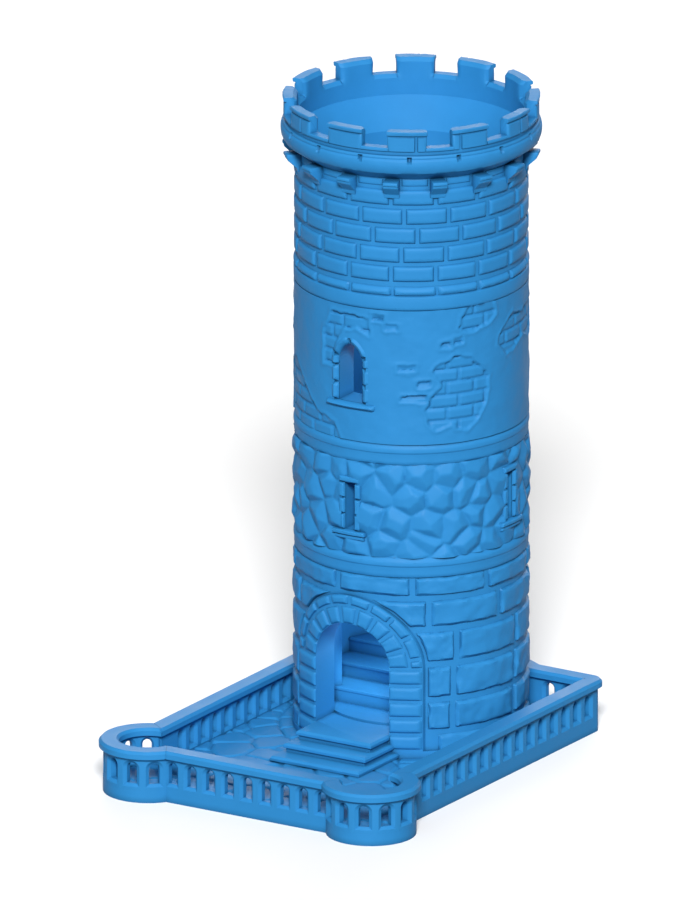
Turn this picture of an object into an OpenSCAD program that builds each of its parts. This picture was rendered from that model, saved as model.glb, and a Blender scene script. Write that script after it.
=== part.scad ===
// Round castle keep dice tower standing in a balustraded dice tray.
// Origin on the tower's axis at the underside of the tray; +Z up, -Y to the front.

/* [Tower] */
// Radius of the plain wall face behind the stones
tower_r = 39.2; // [34:0.2:52]
// Thickness of the tower wall
wall_t = 9.2; // [6:0.2:14]
// Height of the ground storey's wall, up to the frieze
ground_h = 58; // [56:0.5:80]
// Height of the frieze of short blocks under the lower band
frieze_h = 7.2; // [4:0.2:12]
// Height of the lower band
lower_band_h = 7.2; // [4:0.2:12]
// Height of the rubble storey
rubble_h = 33.3; // [31:0.3:50]
// Height of the middle band
middle_band_h = 7.5; // [4:0.1:12]
// Height of the plaster storey
plaster_h = 47.9; // [42:0.1:70]
// Height of the upper band
upper_band_h = 8.6; // [4:0.1:12]
// Height of the brick storey, up to the funnel
brick_h = 33.9; // [20:0.1:60]
// How far the bands stand out from the wall face
band_proud = 1.1; // [0.6:0.1:2]

/* [Crown] */
// Height of the funnel that leads into the tower
funnel_h = 9.9; // [7:0.1:16]
// Height of the crown ring's sloping soffit
soffit_h = 3.2; // [2:0.1:5]
// Height of the crown ring's rounded moulding
moulding_h = 6.6; // [4:0.1:9]
// How far the rounded moulding bulges past the parapet face
moulding_bulge = 1; // [0.4:0.1:2]
// Thickness of the parapet
parapet_t = 4.6; // [3:0.1:7]
// Height of the parapet below the crenels
parapet_h = 2.5; // [1.5:0.1:6]
// Height of the merlons above the crenel sills
merlon_h = 5.9; // [3:0.1:10]
// Number of merlons
merlon_count = 12; // [6:1:16]
// Angle that one merlon covers
merlon_angle = 18; // [10:0.5:20]
// Number of corbels under the crown ring
corbel_count = 16; // [8:1:20]
// Width of a corbel
corbel_w = 5.7; // [3:0.1:8]
// Height of a corbel without its foot
corbel_h = 6.5; // [4:0.1:8]
// Thickness of a corbel's top slab
corbel_slab = 2.2; // [1:0.1:3]
// How far a corbel stands out from the wall face
corbel_out = 5.2; // [3:0.1:6]

/* [Doorway] */
// Clear width of the doorway
door_w = 29.4; // [20:0.2:34]
// Height of the threshold above the tray floor
threshold_h = 8.8; // [6:0.1:12]
// Height of the jambs from the threshold to the springing
jamb_h = 23.7; // [16:0.1:26]
// Width of the stone surround
surround_w = 10; // [6:0.1:10.5]
// How far the surround and plinth stand out from the wall face
surround_proud = 1.4; // [0.8:0.1:2.5]
// Height of the plinth ring above the tray floor
plinth_h = 3.1; // [2:0.1:5]

/* [Inside the tower] */
// Height of the tower's floor above the tray floor
floor_raise = 9.6; // [6:0.1:12]
// Rise of one inner step
step_rise = 4.85; // [3:0.05:6]
// Run of one inner step
step_run = 11.7; // [8:0.1:12]
// Number of inner steps
step_count = 4; // [2:1:4]
// Distance of the first riser in front of the tower's axis
first_riser = 16.8; // [12:0.1:18]
// Height of the guide fins above the tower's floor
fin_h = 50; // [20:0.5:60]
// How far the guide fins reach in from the wall
fin_out = 6.3; // [3:0.1:8]
// Bearing of the guide fins from the doorway's middle
fin_bearing = 49; // [46:1:58]

/* [Windows] */
// Clear width of the arrow slits
slit_w = 4; // [2:0.1:6]
// Clear height of the arrow slits
slit_h = 17; // [10:0.5:20]
// Height of the slits' foot above the lower band
slit_lift = 8.2; // [5:0.1:10]
// Width of the slits' frame stones
slit_frame = 2.2; // [1:0.1:3]
// Width of the slits' sill
slit_sill_w = 12.7; // [10:0.1:16]
// Thickness of the slits' sill
slit_sill_t = 3.2; // [1:0.1:4]
// Clear width of the pointed windows
window_w = 9.5; // [6:0.1:14]
// Height of the pointed windows' straight sides
window_side = 14; // [8:0.1:16]
// Rise of the pointed arch
window_rise = 7; // [5:0.1:10]
// Height of the pointed windows' foot above the middle band
window_lift = 13.4; // [6:0.1:16]
// Width of the pointed windows' surround
window_frame = 3.2; // [1.5:0.1:4]
// Width of the pointed windows' sill bar
window_sill_w = 19.5; // [18:0.1:24]
// Thickness of the pointed windows' sill bar
window_sill_t = 2; // [1:0.1:4]
// How far frames stand out from the wall face
frame_proud = 1.3; // [0.6:0.1:2]
// How far window sills stand out from the wall face
sill_proud = 2.4; // [1.4:0.1:4]

/* [Tray] */
// Thickness of the tray's floor
floor_t = 4.4; // [3:0.1:6]
// Clear width between the tower's wall and a side balustrade
aisle_w = 8; // [7.5:0.1:20]
// Clear length of the tray in front of the tower's wall
run_out = 63.5; // [56:0.5:100]
// Distance of the straight rear balustrade's outer face behind the tower wall
rear_set = 1.8; // [0.5:0.1:4]
// Clear gap between the tower's wall and the apse behind it
apse_gap = 5; // [4:0.1:7.5]
// Rounding of the tray's rear corners
rear_corner_r = 3.5; // [1:0.1:6]
// Outer radius of the round bastions
bastion_r = 15.55; // [14:0.05:20]
// Distance of a bastion's centre inside the side's outer face
bastion_inset_x = 6.3; // [4:0.1:9]
// Distance of a bastion's centre inside the front's outer face
bastion_inset_y = 8.9; // [5:0.1:10]

/* [Balustrade] */
// Thickness of the balustrade
balustrade_t = 4; // [3:0.1:6]
// Height of the balustrade's arcade above the tray floor
arcade_h = 10.6; // [9:0.1:16]
// Height of the rail
rail_h = 3.6; // [2:0.1:5]
// How far the rail overhangs each side of the balustrade
rail_lip = 0.65; // [0.3:0.05:1]
// Distance from one arch to the next
arch_pitch = 7.5; // [6:0.1:10]
// Clear width of an arch
arch_w = 3.4; // [2:0.1:4.5]
// Height of an arch's sill above the tray floor
arch_sill = 2.2; // [1:0.1:3]
// Clear height of an arch to its crown
arch_h = 7.4; // [5:0.1:8]
// Angle from one bastion arch to the next
bastion_arch_pitch = 31; // [25:1:45]
// Angle of the first bastion arch past the front junction
bastion_arch_start = 15; // [12:1:20]

/* [Steps] */
// Width of the lower, middle and upper step
outer_step_w = [36, 33, 30.2];
// Distance of each step's nose in front of the tower wall
outer_step_out = [23.5, 17, 11.1];
// Height of each step's top above the tray floor
outer_step_top = [2.6, 5.7, 8.9];

/* [Hidden] */
$fn = 96;

// Colours of the one blue plastic, a shade apart so that neighbours read
wall_blue = "#3d9de8";
trim_blue = "#49aef2";
tray_blue = "#3690d8";

// Levels, from the tray's underside
frieze_z = floor_t + ground_h;
lower_band_z = frieze_z + frieze_h;
rubble_z = lower_band_z + lower_band_h;
middle_band_z = rubble_z + rubble_h;
plaster_z = middle_band_z + middle_band_h;
upper_band_z = plaster_z + plaster_h;
brick_z = upper_band_z + upper_band_h;
funnel_z = brick_z + brick_h;
funnel_top = funnel_z + funnel_h;
parapet_z = funnel_top + 4.7;
merlon_z = parapet_z + parapet_h;
moulding_z = parapet_z - moulding_h;
soffit_z = moulding_z - soffit_h;

// Radii about the tower's axis
inner_r = tower_r - wall_t;
band_r = tower_r + band_proud;
surround_r = tower_r + surround_proud;
parapet_r = tower_r + parapet_t;
moulding_r = (pow(moulding_h / 2, 2) + pow(moulding_bulge, 2)) / (2 * moulding_bulge);

// Doorway
door_half = door_w / 2;
surround_half = door_half + surround_w;
door_sill_z = floor_t + threshold_h;
door_spring_z = door_sill_z + jamb_h;

// Windows
slit_z = rubble_z + slit_lift;
window_z = plaster_z + window_lift;
window_half = window_w / 2;
window_spring_z = window_z + window_side;
pointed_r = (pow(window_rise, 2) + pow(window_half, 2)) / window_w;

// Tray in plan: outer faces, the apse and the bastions
side_x = tower_r + aisle_w + balustrade_t;
front_y = -(tower_r + run_out + balustrade_t);
rear_y = tower_r + rear_set;
side_split_x = side_x - balustrade_t - 2;
apse_r = tower_r + apse_gap + balustrade_t;
apse_x = sqrt(pow(apse_r, 2) - pow(rear_y, 2));
apse_split_x = apse_x + 1.5;
bastion_x = side_x - bastion_inset_x;
bastion_y = front_y + bastion_inset_y;
front_join_x = bastion_x - sqrt(pow(bastion_r, 2) - pow(bastion_inset_y, 2));
side_join_y = bastion_y + sqrt(pow(bastion_r, 2) - pow(bastion_inset_x, 2));

// Levels of the balustrade
rail_z = floor_t + arcade_h;
rail_top = rail_z + rail_h;
arch_z = floor_t + arch_sill;

// Places of the arches in each run
end_margin = 4.5;
front_arches = floor((2 * front_join_x - arch_w) / arch_pitch) + 1;
side_last_y = rear_y - balustrade_t - end_margin;
side_arches = floor((side_last_y - side_join_y - 2 * end_margin) / arch_pitch) + 1;
rear_last_x = side_x - balustrade_t - arch_pitch;
rear_arches = floor((rear_last_x - apse_x - end_margin) / arch_pitch) + 1;
apse_pitch = arch_pitch / (apse_r - balustrade_t / 2) * 180 / PI;
apse_half_angle = asin(apse_x / apse_r);
apse_side_arches = floor((apse_half_angle - 3) / apse_pitch);
bastion_from = -acos(bastion_inset_y / bastion_r);
bastion_to = 180 - asin(bastion_inset_x / bastion_r);
bastion_arches = floor((bastion_to - bastion_from - bastion_arch_start) / bastion_arch_pitch) + 1;

// Reach of a cut that runs well past what it cuts
far = 400;
over = 1;

// Solid between two radii and two levels, from one bearing to another;
// bearings are measured from the front (-Y) towards +X.
module ring_sector(r_in, r_out, z_low, z_high, from, to)
    rotate([0, 0, from - 90])
        rotate_extrude(angle = to - from)
            translate([r_in, z_low])
                square([r_out - r_in, z_high - z_low]);

// Full ring between two radii and two levels
module ring(r_in, r_out, z_low, z_high)
    translate([0, 0, z_low])
        difference() {
            cylinder(r = r_out, h = z_high - z_low);
            translate([0, 0, -over])
                cylinder(r = r_in, h = z_high - z_low + 2 * over);
        }

// Carries an elevation drawn in X and height forward (-Y) from the axis
module forward(length = far)
    rotate([90, 0, 0])
        linear_extrude(length)
            children();

// Upright elevation with a half-round head
module round_headed(half, z_low, z_spring) {
    translate([-half, z_low])
        square([2 * half, z_spring - z_low]);
    translate([0, z_spring])
        circle(r = half);
}

// Upright elevation with a pointed head, grown all round by a margin
module pointed(grow, z_low) {
    reach = pointed_r + grow;
    centre = pointed_r - window_half;
    apex = acos(centre / reach);
    right_arc = [for (i = [0 : 8]) [reach * cos(apex * i / 8) - centre,
                                    window_spring_z + reach * sin(apex * i / 8)]];
    left_arc = [for (i = [7 : -1 : 0]) [-right_arc[i][0], right_arc[i][1]]];
    polygon(concat([[window_half + grow, z_low]], right_arc, left_arc,
                   [[-window_half - grow, z_low]]));
}

// Plan of the tray drawn in from its outer faces by an inset
module tray_plan(inset = 0) {
    rear_r = max(rear_corner_r - inset, 0.01);
    difference() {
        translate([-side_x + inset, front_y + inset])
            square([2 * (side_x - inset), rear_y - front_y - 2 * inset]);
        for (side = [-1, 1])
            translate([side * (side_x - inset), rear_y - inset])
                corner_waste(rear_r, side);
    }
    circle(r = apse_r - inset);
    for (side = [-1, 1])
        translate([side * bastion_x, bastion_y])
            circle(r = bastion_r - inset);
}

// What rounding takes off an outer rear corner
module corner_waste(r, side)
    difference() {
        translate([side > 0 ? -r : -1, -r])
            square([r + 1, r + 1]);
        translate([-side * r, -r])
            circle(r = r);
    }

// Upright run that follows the tray's edge between two insets and two levels
module edge_run(inset_out, inset_in, z_low, z_high)
    translate([0, 0, z_low])
        linear_extrude(z_high - z_low)
            difference() {
                tray_plan(inset_out);
                tray_plan(inset_in);
            }

// Regions that part the edge run at its natural joints, in plan
module front_region()
    translate([-front_join_x, -far])
        square([2 * front_join_x, far]);
module side_region()
    translate([side_split_x, side_join_y])
        square([far, far]);
module bastion_region()
    translate([front_join_x, side_join_y - far])
        square([far, far]);
module rear_region()
    translate([-side_split_x, 0])
        square([2 * side_split_x, far]);
module apse_region()
    translate([-apse_split_x, 0])
        square([2 * apse_split_x, far]);

// Keeps what lies over a region drawn in plan
module over_region()
    intersection() {
        children(0);
        linear_extrude(far)
            children(1);
    }

module arcade_run()
    edge_run(0, balustrade_t, floor_t, rail_z);

module rail_run()
    edge_run(-rail_lip, balustrade_t + rail_lip, rail_z, rail_top);

// Arch elevation of the balustrade
module arch()
    translate([0, arch_z])
        round_headed(arch_w / 2, 0, arch_h - arch_w / 2);

// Cuts an arch through a round wall of a given outer radius, at its front
module arch_cut(r)
    translate([0, -(r - 1.5 * balustrade_t), 0])
        forward(2 * balustrade_t)
            arch();

// Tray ------------------------------------------------------------------

module tray_floor()
    color(tray_blue)
        linear_extrude(floor_t)
            tray_plan();

module front_balustrade()
    color(tray_blue)
        difference() {
            over_region() {
                arcade_run();
                front_region();
            }
            for (k = [0 : front_arches - 1])
                translate([(k - (front_arches - 1) / 2) * arch_pitch, 0, 0])
                    forward()
                        arch();
        }

module right_balustrade()
    color(tray_blue)
        difference() {
            over_region() {
                arcade_run();
                side_region();
            }
            for (k = [0 : side_arches - 1])
                translate([0, side_last_y - k * arch_pitch, 0])
                    rotate([0, 0, 90])
                        forward()
                            arch();
        }

module left_balustrade()
    mirror([1, 0, 0])
        right_balustrade();

module rear_balustrades()
    color(tray_blue)
        for (side = [0, 1])
            mirror([side, 0, 0])
                difference() {
                    over_region() {
                        arcade_run();
                        difference() {
                            rear_region();
                            apse_region();
                            translate([-far, 0])
                                square([far, far]);
                        }
                    }
                    for (k = [0 : rear_arches - 1])
                        translate([rear_last_x - k * arch_pitch, 0, 0])
                            mirror([0, 1, 0])
                                forward()
                                    arch();
                }

module rear_apse_wall()
    color(tray_blue)
        difference() {
            over_region() {
                arcade_run();
                apse_region();
            }
            for (k = [-apse_side_arches : apse_side_arches])
                rotate([0, 0, 180 + k * apse_pitch])
                    arch_cut(apse_r);
        }

module right_bastion_wall()
    color(tray_blue)
        difference() {
            over_region() {
                arcade_run();
                bastion_region();
            }
            for (k = [0 : bastion_arches - 1])
                translate([bastion_x, bastion_y, 0])
                    rotate([0, 0, bastion_from + bastion_arch_start + k * bastion_arch_pitch])
                        arch_cut(bastion_r);
        }

module left_bastion_wall()
    mirror([1, 0, 0])
        right_bastion_wall();

module front_rail()
    color(trim_blue)
        over_region() {
            rail_run();
            front_region();
        }

module right_rail()
    color(trim_blue)
        over_region() {
            rail_run();
            side_region();
        }

module left_rail()
    mirror([1, 0, 0])
        right_rail();

module rear_rail()
    color(trim_blue)
        over_region() {
            rail_run();
            rear_region();
        }

module right_bastion_rail()
    color(trim_blue)
        over_region() {
            rail_run();
            bastion_region();
        }

module left_bastion_rail()
    mirror([1, 0, 0])
        right_bastion_rail();

// Outer steps -------------------------------------------------------------

// Slab of one outer step, cut to the tower's foot
module outer_step(i)
    color(trim_blue)
        difference() {
            bottom = i == 0 ? 0 : outer_step_top[i - 1];
            translate([-outer_step_w[i] / 2, -tower_r - outer_step_out[i], floor_t + bottom])
                cube([outer_step_w[i], outer_step_out[i] + tower_r / 2, outer_step_top[i] - bottom]);
            cylinder(r = surround_r, h = far);
        }

module lower_step() outer_step(0);
module middle_step() outer_step(1);
module upper_step() outer_step(2);

// Ground storey -------------------------------------------------------------

// Full elevation of the doorway with its surround, from the tray floor up
module surround_elevation()
    round_headed(surround_half, floor_t - over, door_spring_z);

module tower_plinth()
    color(trim_blue)
        difference() {
            ring(tower_r, surround_r, floor_t, floor_t + plinth_h);
            forward()
                surround_elevation();
        }

module tower_floor()
    color(tray_blue)
        translate([0, 0, floor_t])
            cylinder(r = inner_r, h = floor_raise);

// Blocks of the inner stair before they are rounded to the wall
module stair_blocks()
    translate([0, 0, floor_t + floor_raise])
        for (k = [0 : step_count - 1])
            translate([-inner_r, -first_riser + k * step_run, k * step_rise])
                cube([2 * inner_r, 2 * inner_r + first_riser, step_rise]);

module inner_stair()
    color(tray_blue)
        intersection() {
            cylinder(r = inner_r, h = far);
            stair_blocks();
        }

// Upright fin beside the inside of the doorway, hollow-faced towards it
module door_fin()
    rotate([0, 0, fin_bearing])
        translate([0, 0, floor_t + floor_raise])
            linear_extrude(fin_h)
                intersection() {
                    circle(r = inner_r);
                    translate([-fin_out / 2, -inner_r - over])
                        difference() {
                            square([fin_out, fin_out + over]);
                            translate([0, fin_out + over])
                                circle(r = fin_out * 0.8);
                        }
                }

module door_fins()
    color(wall_blue)
        for (side = [0, 1])
            mirror([side, 0, 0])
                difference() {
                    door_fin();
                    stair_blocks();
                }

module door_threshold()
    color(trim_blue)
        intersection() {
            ring(inner_r, surround_r, floor_t, door_sill_z);
            translate([-door_half, -far, 0])
                cube([door_w, far, far]);
        }

module door_jambs()
    color(trim_blue)
        intersection() {
            ring(inner_r, surround_r, floor_t, door_spring_z);
            for (side = [-1, 1])
                translate([side * (door_half + surround_w / 2) - surround_w / 2, -far, 0])
                    cube([surround_w, far, far]);
        }

module door_arch()
    color(trim_blue)
        intersection() {
            ring(inner_r, surround_r, door_spring_z, far);
            forward()
                translate([0, door_spring_z])
                    difference() {
                        circle(r = surround_half);
                        circle(r = door_half);
                    }
        }

module ground_wall_right()
    color(wall_blue)
        difference() {
            ring_sector(inner_r, tower_r, floor_t, frieze_z, 0, 180);
            forward()
                surround_elevation();
        }

module ground_wall_left()
    mirror([1, 0, 0])
        ground_wall_right();

module frieze_ring()
    color(wall_blue)
        ring(inner_r, tower_r, frieze_z, lower_band_z);

module lower_band()
    color(trim_blue)
        ring(inner_r, band_r, lower_band_z, rubble_z);

// Rubble storey -------------------------------------------------------------

module slit_elevation(grow = 0, grow_top = 0)
    translate([-slit_w / 2 - grow, slit_z])
        square([slit_w + 2 * grow, slit_h + grow_top]);

module rubble_wall_right()
    color(wall_blue)
        difference() {
            ring_sector(inner_r, tower_r, rubble_z, middle_band_z, 0, 180);
            for (bearing = [0, 90, 180])
                rotate([0, 0, bearing])
                    forward()
                        slit_elevation();
        }

module rubble_wall_left()
    mirror([1, 0, 0])
        rubble_wall_right();

module slit_frames()
    color(trim_blue)
        for (bearing = [0, 90, 180, 270])
            rotate([0, 0, bearing])
                intersection() {
                    ring(tower_r, tower_r + frame_proud, rubble_z, middle_band_z);
                    forward()
                        difference() {
                            slit_elevation(slit_frame, slit_frame);
                            slit_elevation();
                        }
                }

module slit_sills()
    color(trim_blue)
        for (bearing = [0, 90, 180, 270])
            rotate([0, 0, bearing])
                intersection() {
                    ring(tower_r, tower_r + sill_proud, slit_z - slit_sill_t, slit_z);
                    translate([-slit_sill_w / 2, -far, 0])
                        cube([slit_sill_w, far, far]);
                }

module middle_band()
    color(trim_blue)
        ring(inner_r, band_r, middle_band_z, plaster_z);

// Plaster storey ------------------------------------------------------------

module plaster_wall_right()
    color(wall_blue)
        difference() {
            ring_sector(inner_r, tower_r, plaster_z, upper_band_z, 0, 180);
            for (bearing = [0, 180])
                rotate([0, 0, bearing])
                    forward()
                        pointed(0, window_z);
        }

module plaster_wall_left()
    mirror([1, 0, 0])
        plaster_wall_right();

module window_surrounds()
    color(trim_blue)
        for (bearing = [0, 180])
            rotate([0, 0, bearing])
                intersection() {
                    ring(tower_r, tower_r + frame_proud, plaster_z, upper_band_z);
                    forward()
                        difference() {
                            pointed(window_frame, window_z);
                            pointed(0, window_z - over);
                        }
                }

module window_sills()
    color(trim_blue)
        for (bearing = [0, 180])
            rotate([0, 0, bearing])
                intersection() {
                    ring(tower_r, tower_r + sill_proud, window_z - window_sill_t, window_z);
                    translate([-window_sill_w / 2, -far, 0])
                        cube([window_sill_w, far, far]);
                }

module upper_band()
    color(trim_blue)
        ring(inner_r, band_r, upper_band_z, brick_z);

// Brick storey and crown ------------------------------------------------------

module brick_wall_right()
    color(wall_blue)
        ring_sector(inner_r, tower_r, brick_z, funnel_z, 0, 180);

module brick_wall_left()
    mirror([1, 0, 0])
        brick_wall_right();

// The tower wall's top, hollowed to a funnel
module funnel()
    color(wall_blue)
        rotate_extrude()
            polygon([[inner_r, funnel_z], [tower_r, funnel_z], [tower_r, funnel_top]]);

module corbels()
    color(trim_blue)
        for (k = [0 : corbel_count - 1])
            rotate([0, 0, k * 360 / corbel_count])
                difference() {
                    translate([corbel_w / 2, 0, 0])
                        rotate([90, 0, -90])
                            linear_extrude(corbel_w)
                                polygon([
                                    [tower_r - over, soffit_z - corbel_h],
                                    [tower_r + 0.5, soffit_z - corbel_h],
                                    [tower_r + corbel_out, soffit_z - corbel_slab],
                                    [tower_r + corbel_out, soffit_z],
                                    [tower_r - over, soffit_z]
                                ]);
                    cylinder(r = tower_r, h = far);
                }

module crown_ring()
    color(trim_blue)
        rotate_extrude() {
            polygon([
                [tower_r, soffit_z], [parapet_r, moulding_z],
                [parapet_r, parapet_z], [tower_r, parapet_z]
            ]);
            intersection() {
                translate([tower_r, moulding_z])
                    square([far, moulding_h]);
                translate([parapet_r + moulding_bulge - moulding_r, moulding_z + moulding_h / 2])
                    circle(r = moulding_r);
            }
        }

module parapet_wall()
    color(wall_blue)
        ring(tower_r, parapet_r, parapet_z, merlon_z);

module merlons()
    color(wall_blue)
        for (k = [0 : merlon_count - 1])
            rotate([0, 0, k * 360 / merlon_count])
                ring_sector(tower_r, parapet_r, merlon_z, merlon_z + merlon_h,
                            -merlon_angle / 2, merlon_angle / 2);

tray_floor();
front_balustrade();
left_balustrade();
right_balustrade();
rear_balustrades();
rear_apse_wall();
left_bastion_wall();
right_bastion_wall();
front_rail();
left_rail();
right_rail();
rear_rail();
left_bastion_rail();
right_bastion_rail();
lower_step();
middle_step();
upper_step();
tower_plinth();
tower_floor();
inner_stair();
door_fins();
door_threshold();
door_jambs();
door_arch();
ground_wall_left();
ground_wall_right();
frieze_ring();
lower_band();
rubble_wall_left();
rubble_wall_right();
slit_frames();
slit_sills();
middle_band();
plaster_wall_left();
plaster_wall_right();
window_surrounds();
window_sills();
upper_band();
brick_wall_left();
brick_wall_right();
corbels();
crown_ring();
funnel();
parapet_wall();
merlons();
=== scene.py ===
"""Looks of a printed castle keep dice tower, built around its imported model.

Every shape is worked out with numpy in millimetres about the tower's axis and put into the
mesh in metres. A bearing is an angle in degrees from the front (-Y) towards +X.
"""

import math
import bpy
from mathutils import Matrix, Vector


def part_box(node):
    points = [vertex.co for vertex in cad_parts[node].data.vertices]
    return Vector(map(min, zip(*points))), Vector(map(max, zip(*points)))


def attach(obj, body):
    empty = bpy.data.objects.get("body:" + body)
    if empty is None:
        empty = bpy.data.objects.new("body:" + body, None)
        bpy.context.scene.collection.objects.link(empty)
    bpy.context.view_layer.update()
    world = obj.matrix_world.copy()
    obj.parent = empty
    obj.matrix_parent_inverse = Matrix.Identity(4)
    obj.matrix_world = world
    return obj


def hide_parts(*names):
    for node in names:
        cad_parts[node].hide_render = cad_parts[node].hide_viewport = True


bl_info = {
    "name": "Castle Keep Dice Tower",
    "version": (1, 0, 0),
    "blender": (4, 5, 0),
    "location": "View3D > Sidebar > Keep",
    "description": "Stone faces, windows, crown and balustraded tray of a printed castle keep",
    "category": "Add Mesh",
}

from types import SimpleNamespace

import bpy
import numpy as np
from bpy.props import FloatProperty, FloatVectorProperty, IntProperty, PointerProperty

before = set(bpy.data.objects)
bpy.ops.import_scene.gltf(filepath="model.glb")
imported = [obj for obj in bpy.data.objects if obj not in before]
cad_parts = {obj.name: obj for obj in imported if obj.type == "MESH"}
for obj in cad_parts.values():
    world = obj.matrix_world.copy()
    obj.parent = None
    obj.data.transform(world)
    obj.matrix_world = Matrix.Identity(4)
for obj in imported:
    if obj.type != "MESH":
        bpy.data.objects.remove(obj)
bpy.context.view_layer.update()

MM = 0.001
BODY = "root"


# Sizes in millimetres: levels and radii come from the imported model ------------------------

def low(node, axis):
    """Lowest coordinate of a node along an axis."""
    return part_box(node)[0][axis] / MM


def high(node, axis):
    """Highest coordinate of a node along an axis."""
    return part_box(node)[1][axis] / MM


FLOOR_Z = high("tray_floor", 2)
INNER_R = high("tower_floor", 0)
WALL_R = high("brick_wall_right", 0)
BAND_R = high("upper_band", 0)
SURROUND_R = high("tower_plinth", 1)
BACK_R = WALL_R - 0.3  # hidden back of the relief, inside the wall

DOOR_HALF = high("door_threshold", 0)
DOOR_SPRING_Z = high("door_jambs", 2)
SURROUND_HALF = high("door_arch", 2) - DOOR_SPRING_Z

SLIT_Z = high("slit_sills", 2)
SLIT_TOP_Z = high("slit_frames", 2)
SLIT_HALF = 2.0
SLIT_SILL_HALF = 6.35
SLIT_BEARINGS = (0, 90, 180, 270)

WINDOW_Z = high("window_sills", 2)
WINDOW_SILL_HALF = high("window_sills", 0)
WINDOW_HALF, WINDOW_RISE = 4.75, 7.0
WINDOW_SPRING_Z = WINDOW_Z + 14.0
WINDOW_REACH = (WINDOW_RISE**2 + WINDOW_HALF**2) / (2 * WINDOW_HALF)  # radius of its two arcs
WINDOW_BEARINGS = (0, 180)

SIXTEENTH = 22.5
SIXTEEN = np.arange(16)

RAIL_Z = low("front_rail", 2)
RAIL_TOP = high("front_rail", 2)
TRAY_WALL_T = 4.0
TRAY_CORNER_R = 3.5
ARCH_PITCH = 7.5
ARCH_HALF = 1.7
BASTION_STEP = 31  # degrees between a bastion's arches

STAIR_NOSE_Y = -16.8
STAIR_TREAD = 11.7
STAIR_STEPS = 4

VIEW_TURN, VIEW_RISE = 32, 18
VIEW_RIGHT, VIEW_UP, VIEW_WIDTH = -20.97, 97.7, 307.7


# Arrays ----------------------------------------------------------------------------------

def cylinder(r, bearing, z):
    """Points at radius r, at a bearing and a height: x = r sin b, y = -r cos b."""
    r, bearing, z = np.broadcast_arrays(r, np.radians(bearing), z)
    return np.stack([r * np.sin(bearing), -r * np.cos(bearing), z], axis=-1)


def on_drum(r, x, z):
    """Points of an elevation (x, z) carried forward on to a drum of radius r:
    y = -sqrt(r^2 - x^2)."""
    r, x, z = np.broadcast_arrays(r, x, z)
    return np.stack([x, -np.sqrt(r**2 - x**2), z], axis=-1)


def ease(t):
    """Smooth step 3t^2 - 2t^3 between 0 and 1."""
    t = np.clip(t, 0, 1)
    return t * t * (3 - 2 * t)


def noise(x, y, cell, seed, period=None):
    """Value noise: random heights on a square lattice of the given cell, eased between its
    corners; with a period it repeats along x."""
    columns = max(3, round(period / cell)) if period else 512
    gx = np.asarray(x) / (period / columns if period else cell)
    gy = np.asarray(y) / cell
    heights = np.random.default_rng(seed).uniform(-1, 1, (512, columns))
    ix, iy = np.floor(gx).astype(int), np.floor(gy).astype(int)
    fx, fy = ease(gx - ix), ease(gy - iy)
    ix0, ix1, iy0, iy1 = ix % columns, (ix + 1) % columns, iy % 512, (iy + 1) % 512
    below = heights[iy0, ix0] * (1 - fx) + heights[iy0, ix1] * fx
    above = heights[iy1, ix0] * (1 - fx) + heights[iy1, ix1] * fx
    return below * (1 - fy) + above * fy


def rough(x, y, cell, seed, period=None, octaves=3):
    """Sum of noises, each half as large and half as high as the one before."""
    return sum(noise(x, y, cell / 2**i, seed + i, period) / 2**i for i in range(octaves))


def grid_faces(rows, columns, wrap_rows=False, wrap_columns=False):
    """Four-cornered faces of a grid of points, facing the way its columns cross its rows."""
    i = np.arange(rows if wrap_rows else rows - 1)[:, None]
    j = np.arange(columns if wrap_columns else columns - 1)[None, :]
    i2, j2 = (i + 1) % rows, (j + 1) % columns
    corners = [i * columns + j, i * columns + j2, i2 * columns + j2, i2 * columns + j]
    return np.stack([np.broadcast_to(c, (i.size, j.size)) for c in corners], -1).reshape(-1, 4)


def patches(points):
    """Closed blocks from points (K, rows, columns, 3): each grid's outer ring is its hidden
    back edge, and one many-cornered face closes the back."""
    count, rows, columns = points.shape[:3]
    index = np.arange(rows * columns).reshape(rows, columns)
    ring = np.concatenate([index[:, 0], index[-1, 1:], index[-2::-1, -1], index[0, -2:0:-1]])
    start = (np.arange(count) * rows * columns)[:, None, None]
    quads = (grid_faces(rows, columns)[None] + start).reshape(-1, 4)
    backs = ring[None] + start[:, :, 0]
    return points.reshape(-1, 3), [quads, backs]


def tube(points, closed=False):
    """Solid swept from loops (n, m, 3); its ends are closed with flat faces unless it joins
    up. Loops run anticlockwise seen against the sweep."""
    count, around = points.shape[:2]
    faces = [grid_faces(count, around, closed, True)]
    if not closed:
        loop = np.arange(around)
        faces.append(np.stack([loop[::-1], loop + (count - 1) * around]))
    return points.reshape(-1, 3), faces


def shell(front, back, keep, wrap=False):
    """Closed sheet between two grids of points (n, m, 3), with holes where keep is false: the
    back is turned over, and every free edge of a kept face gets a side wall."""
    rows, columns = front.shape[:2]
    quads = grid_faces(rows, columns, False, wrap)[keep.reshape(-1)]
    half = rows * columns
    edges = np.concatenate([quads[:, [0, 1]], quads[:, [1, 2]], quads[:, [2, 3]], quads[:, [3, 0]]])
    key = np.sort(edges, axis=1)
    number = key[:, 0] * half + key[:, 1]
    _, first, times = np.unique(number, return_index=True, return_counts=True)
    free = edges[first[times == 1]]
    sides = np.stack([free[:, 1], free[:, 0], free[:, 0] + half, free[:, 1] + half], -1)
    faces = np.concatenate([quads, quads[:, ::-1] + half, sides])
    points = np.concatenate([front.reshape(-1, 3), back.reshape(-1, 3)])
    used, packed = np.unique(faces, return_inverse=True)
    return points[used], [packed.reshape(-1, 4)]


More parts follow.
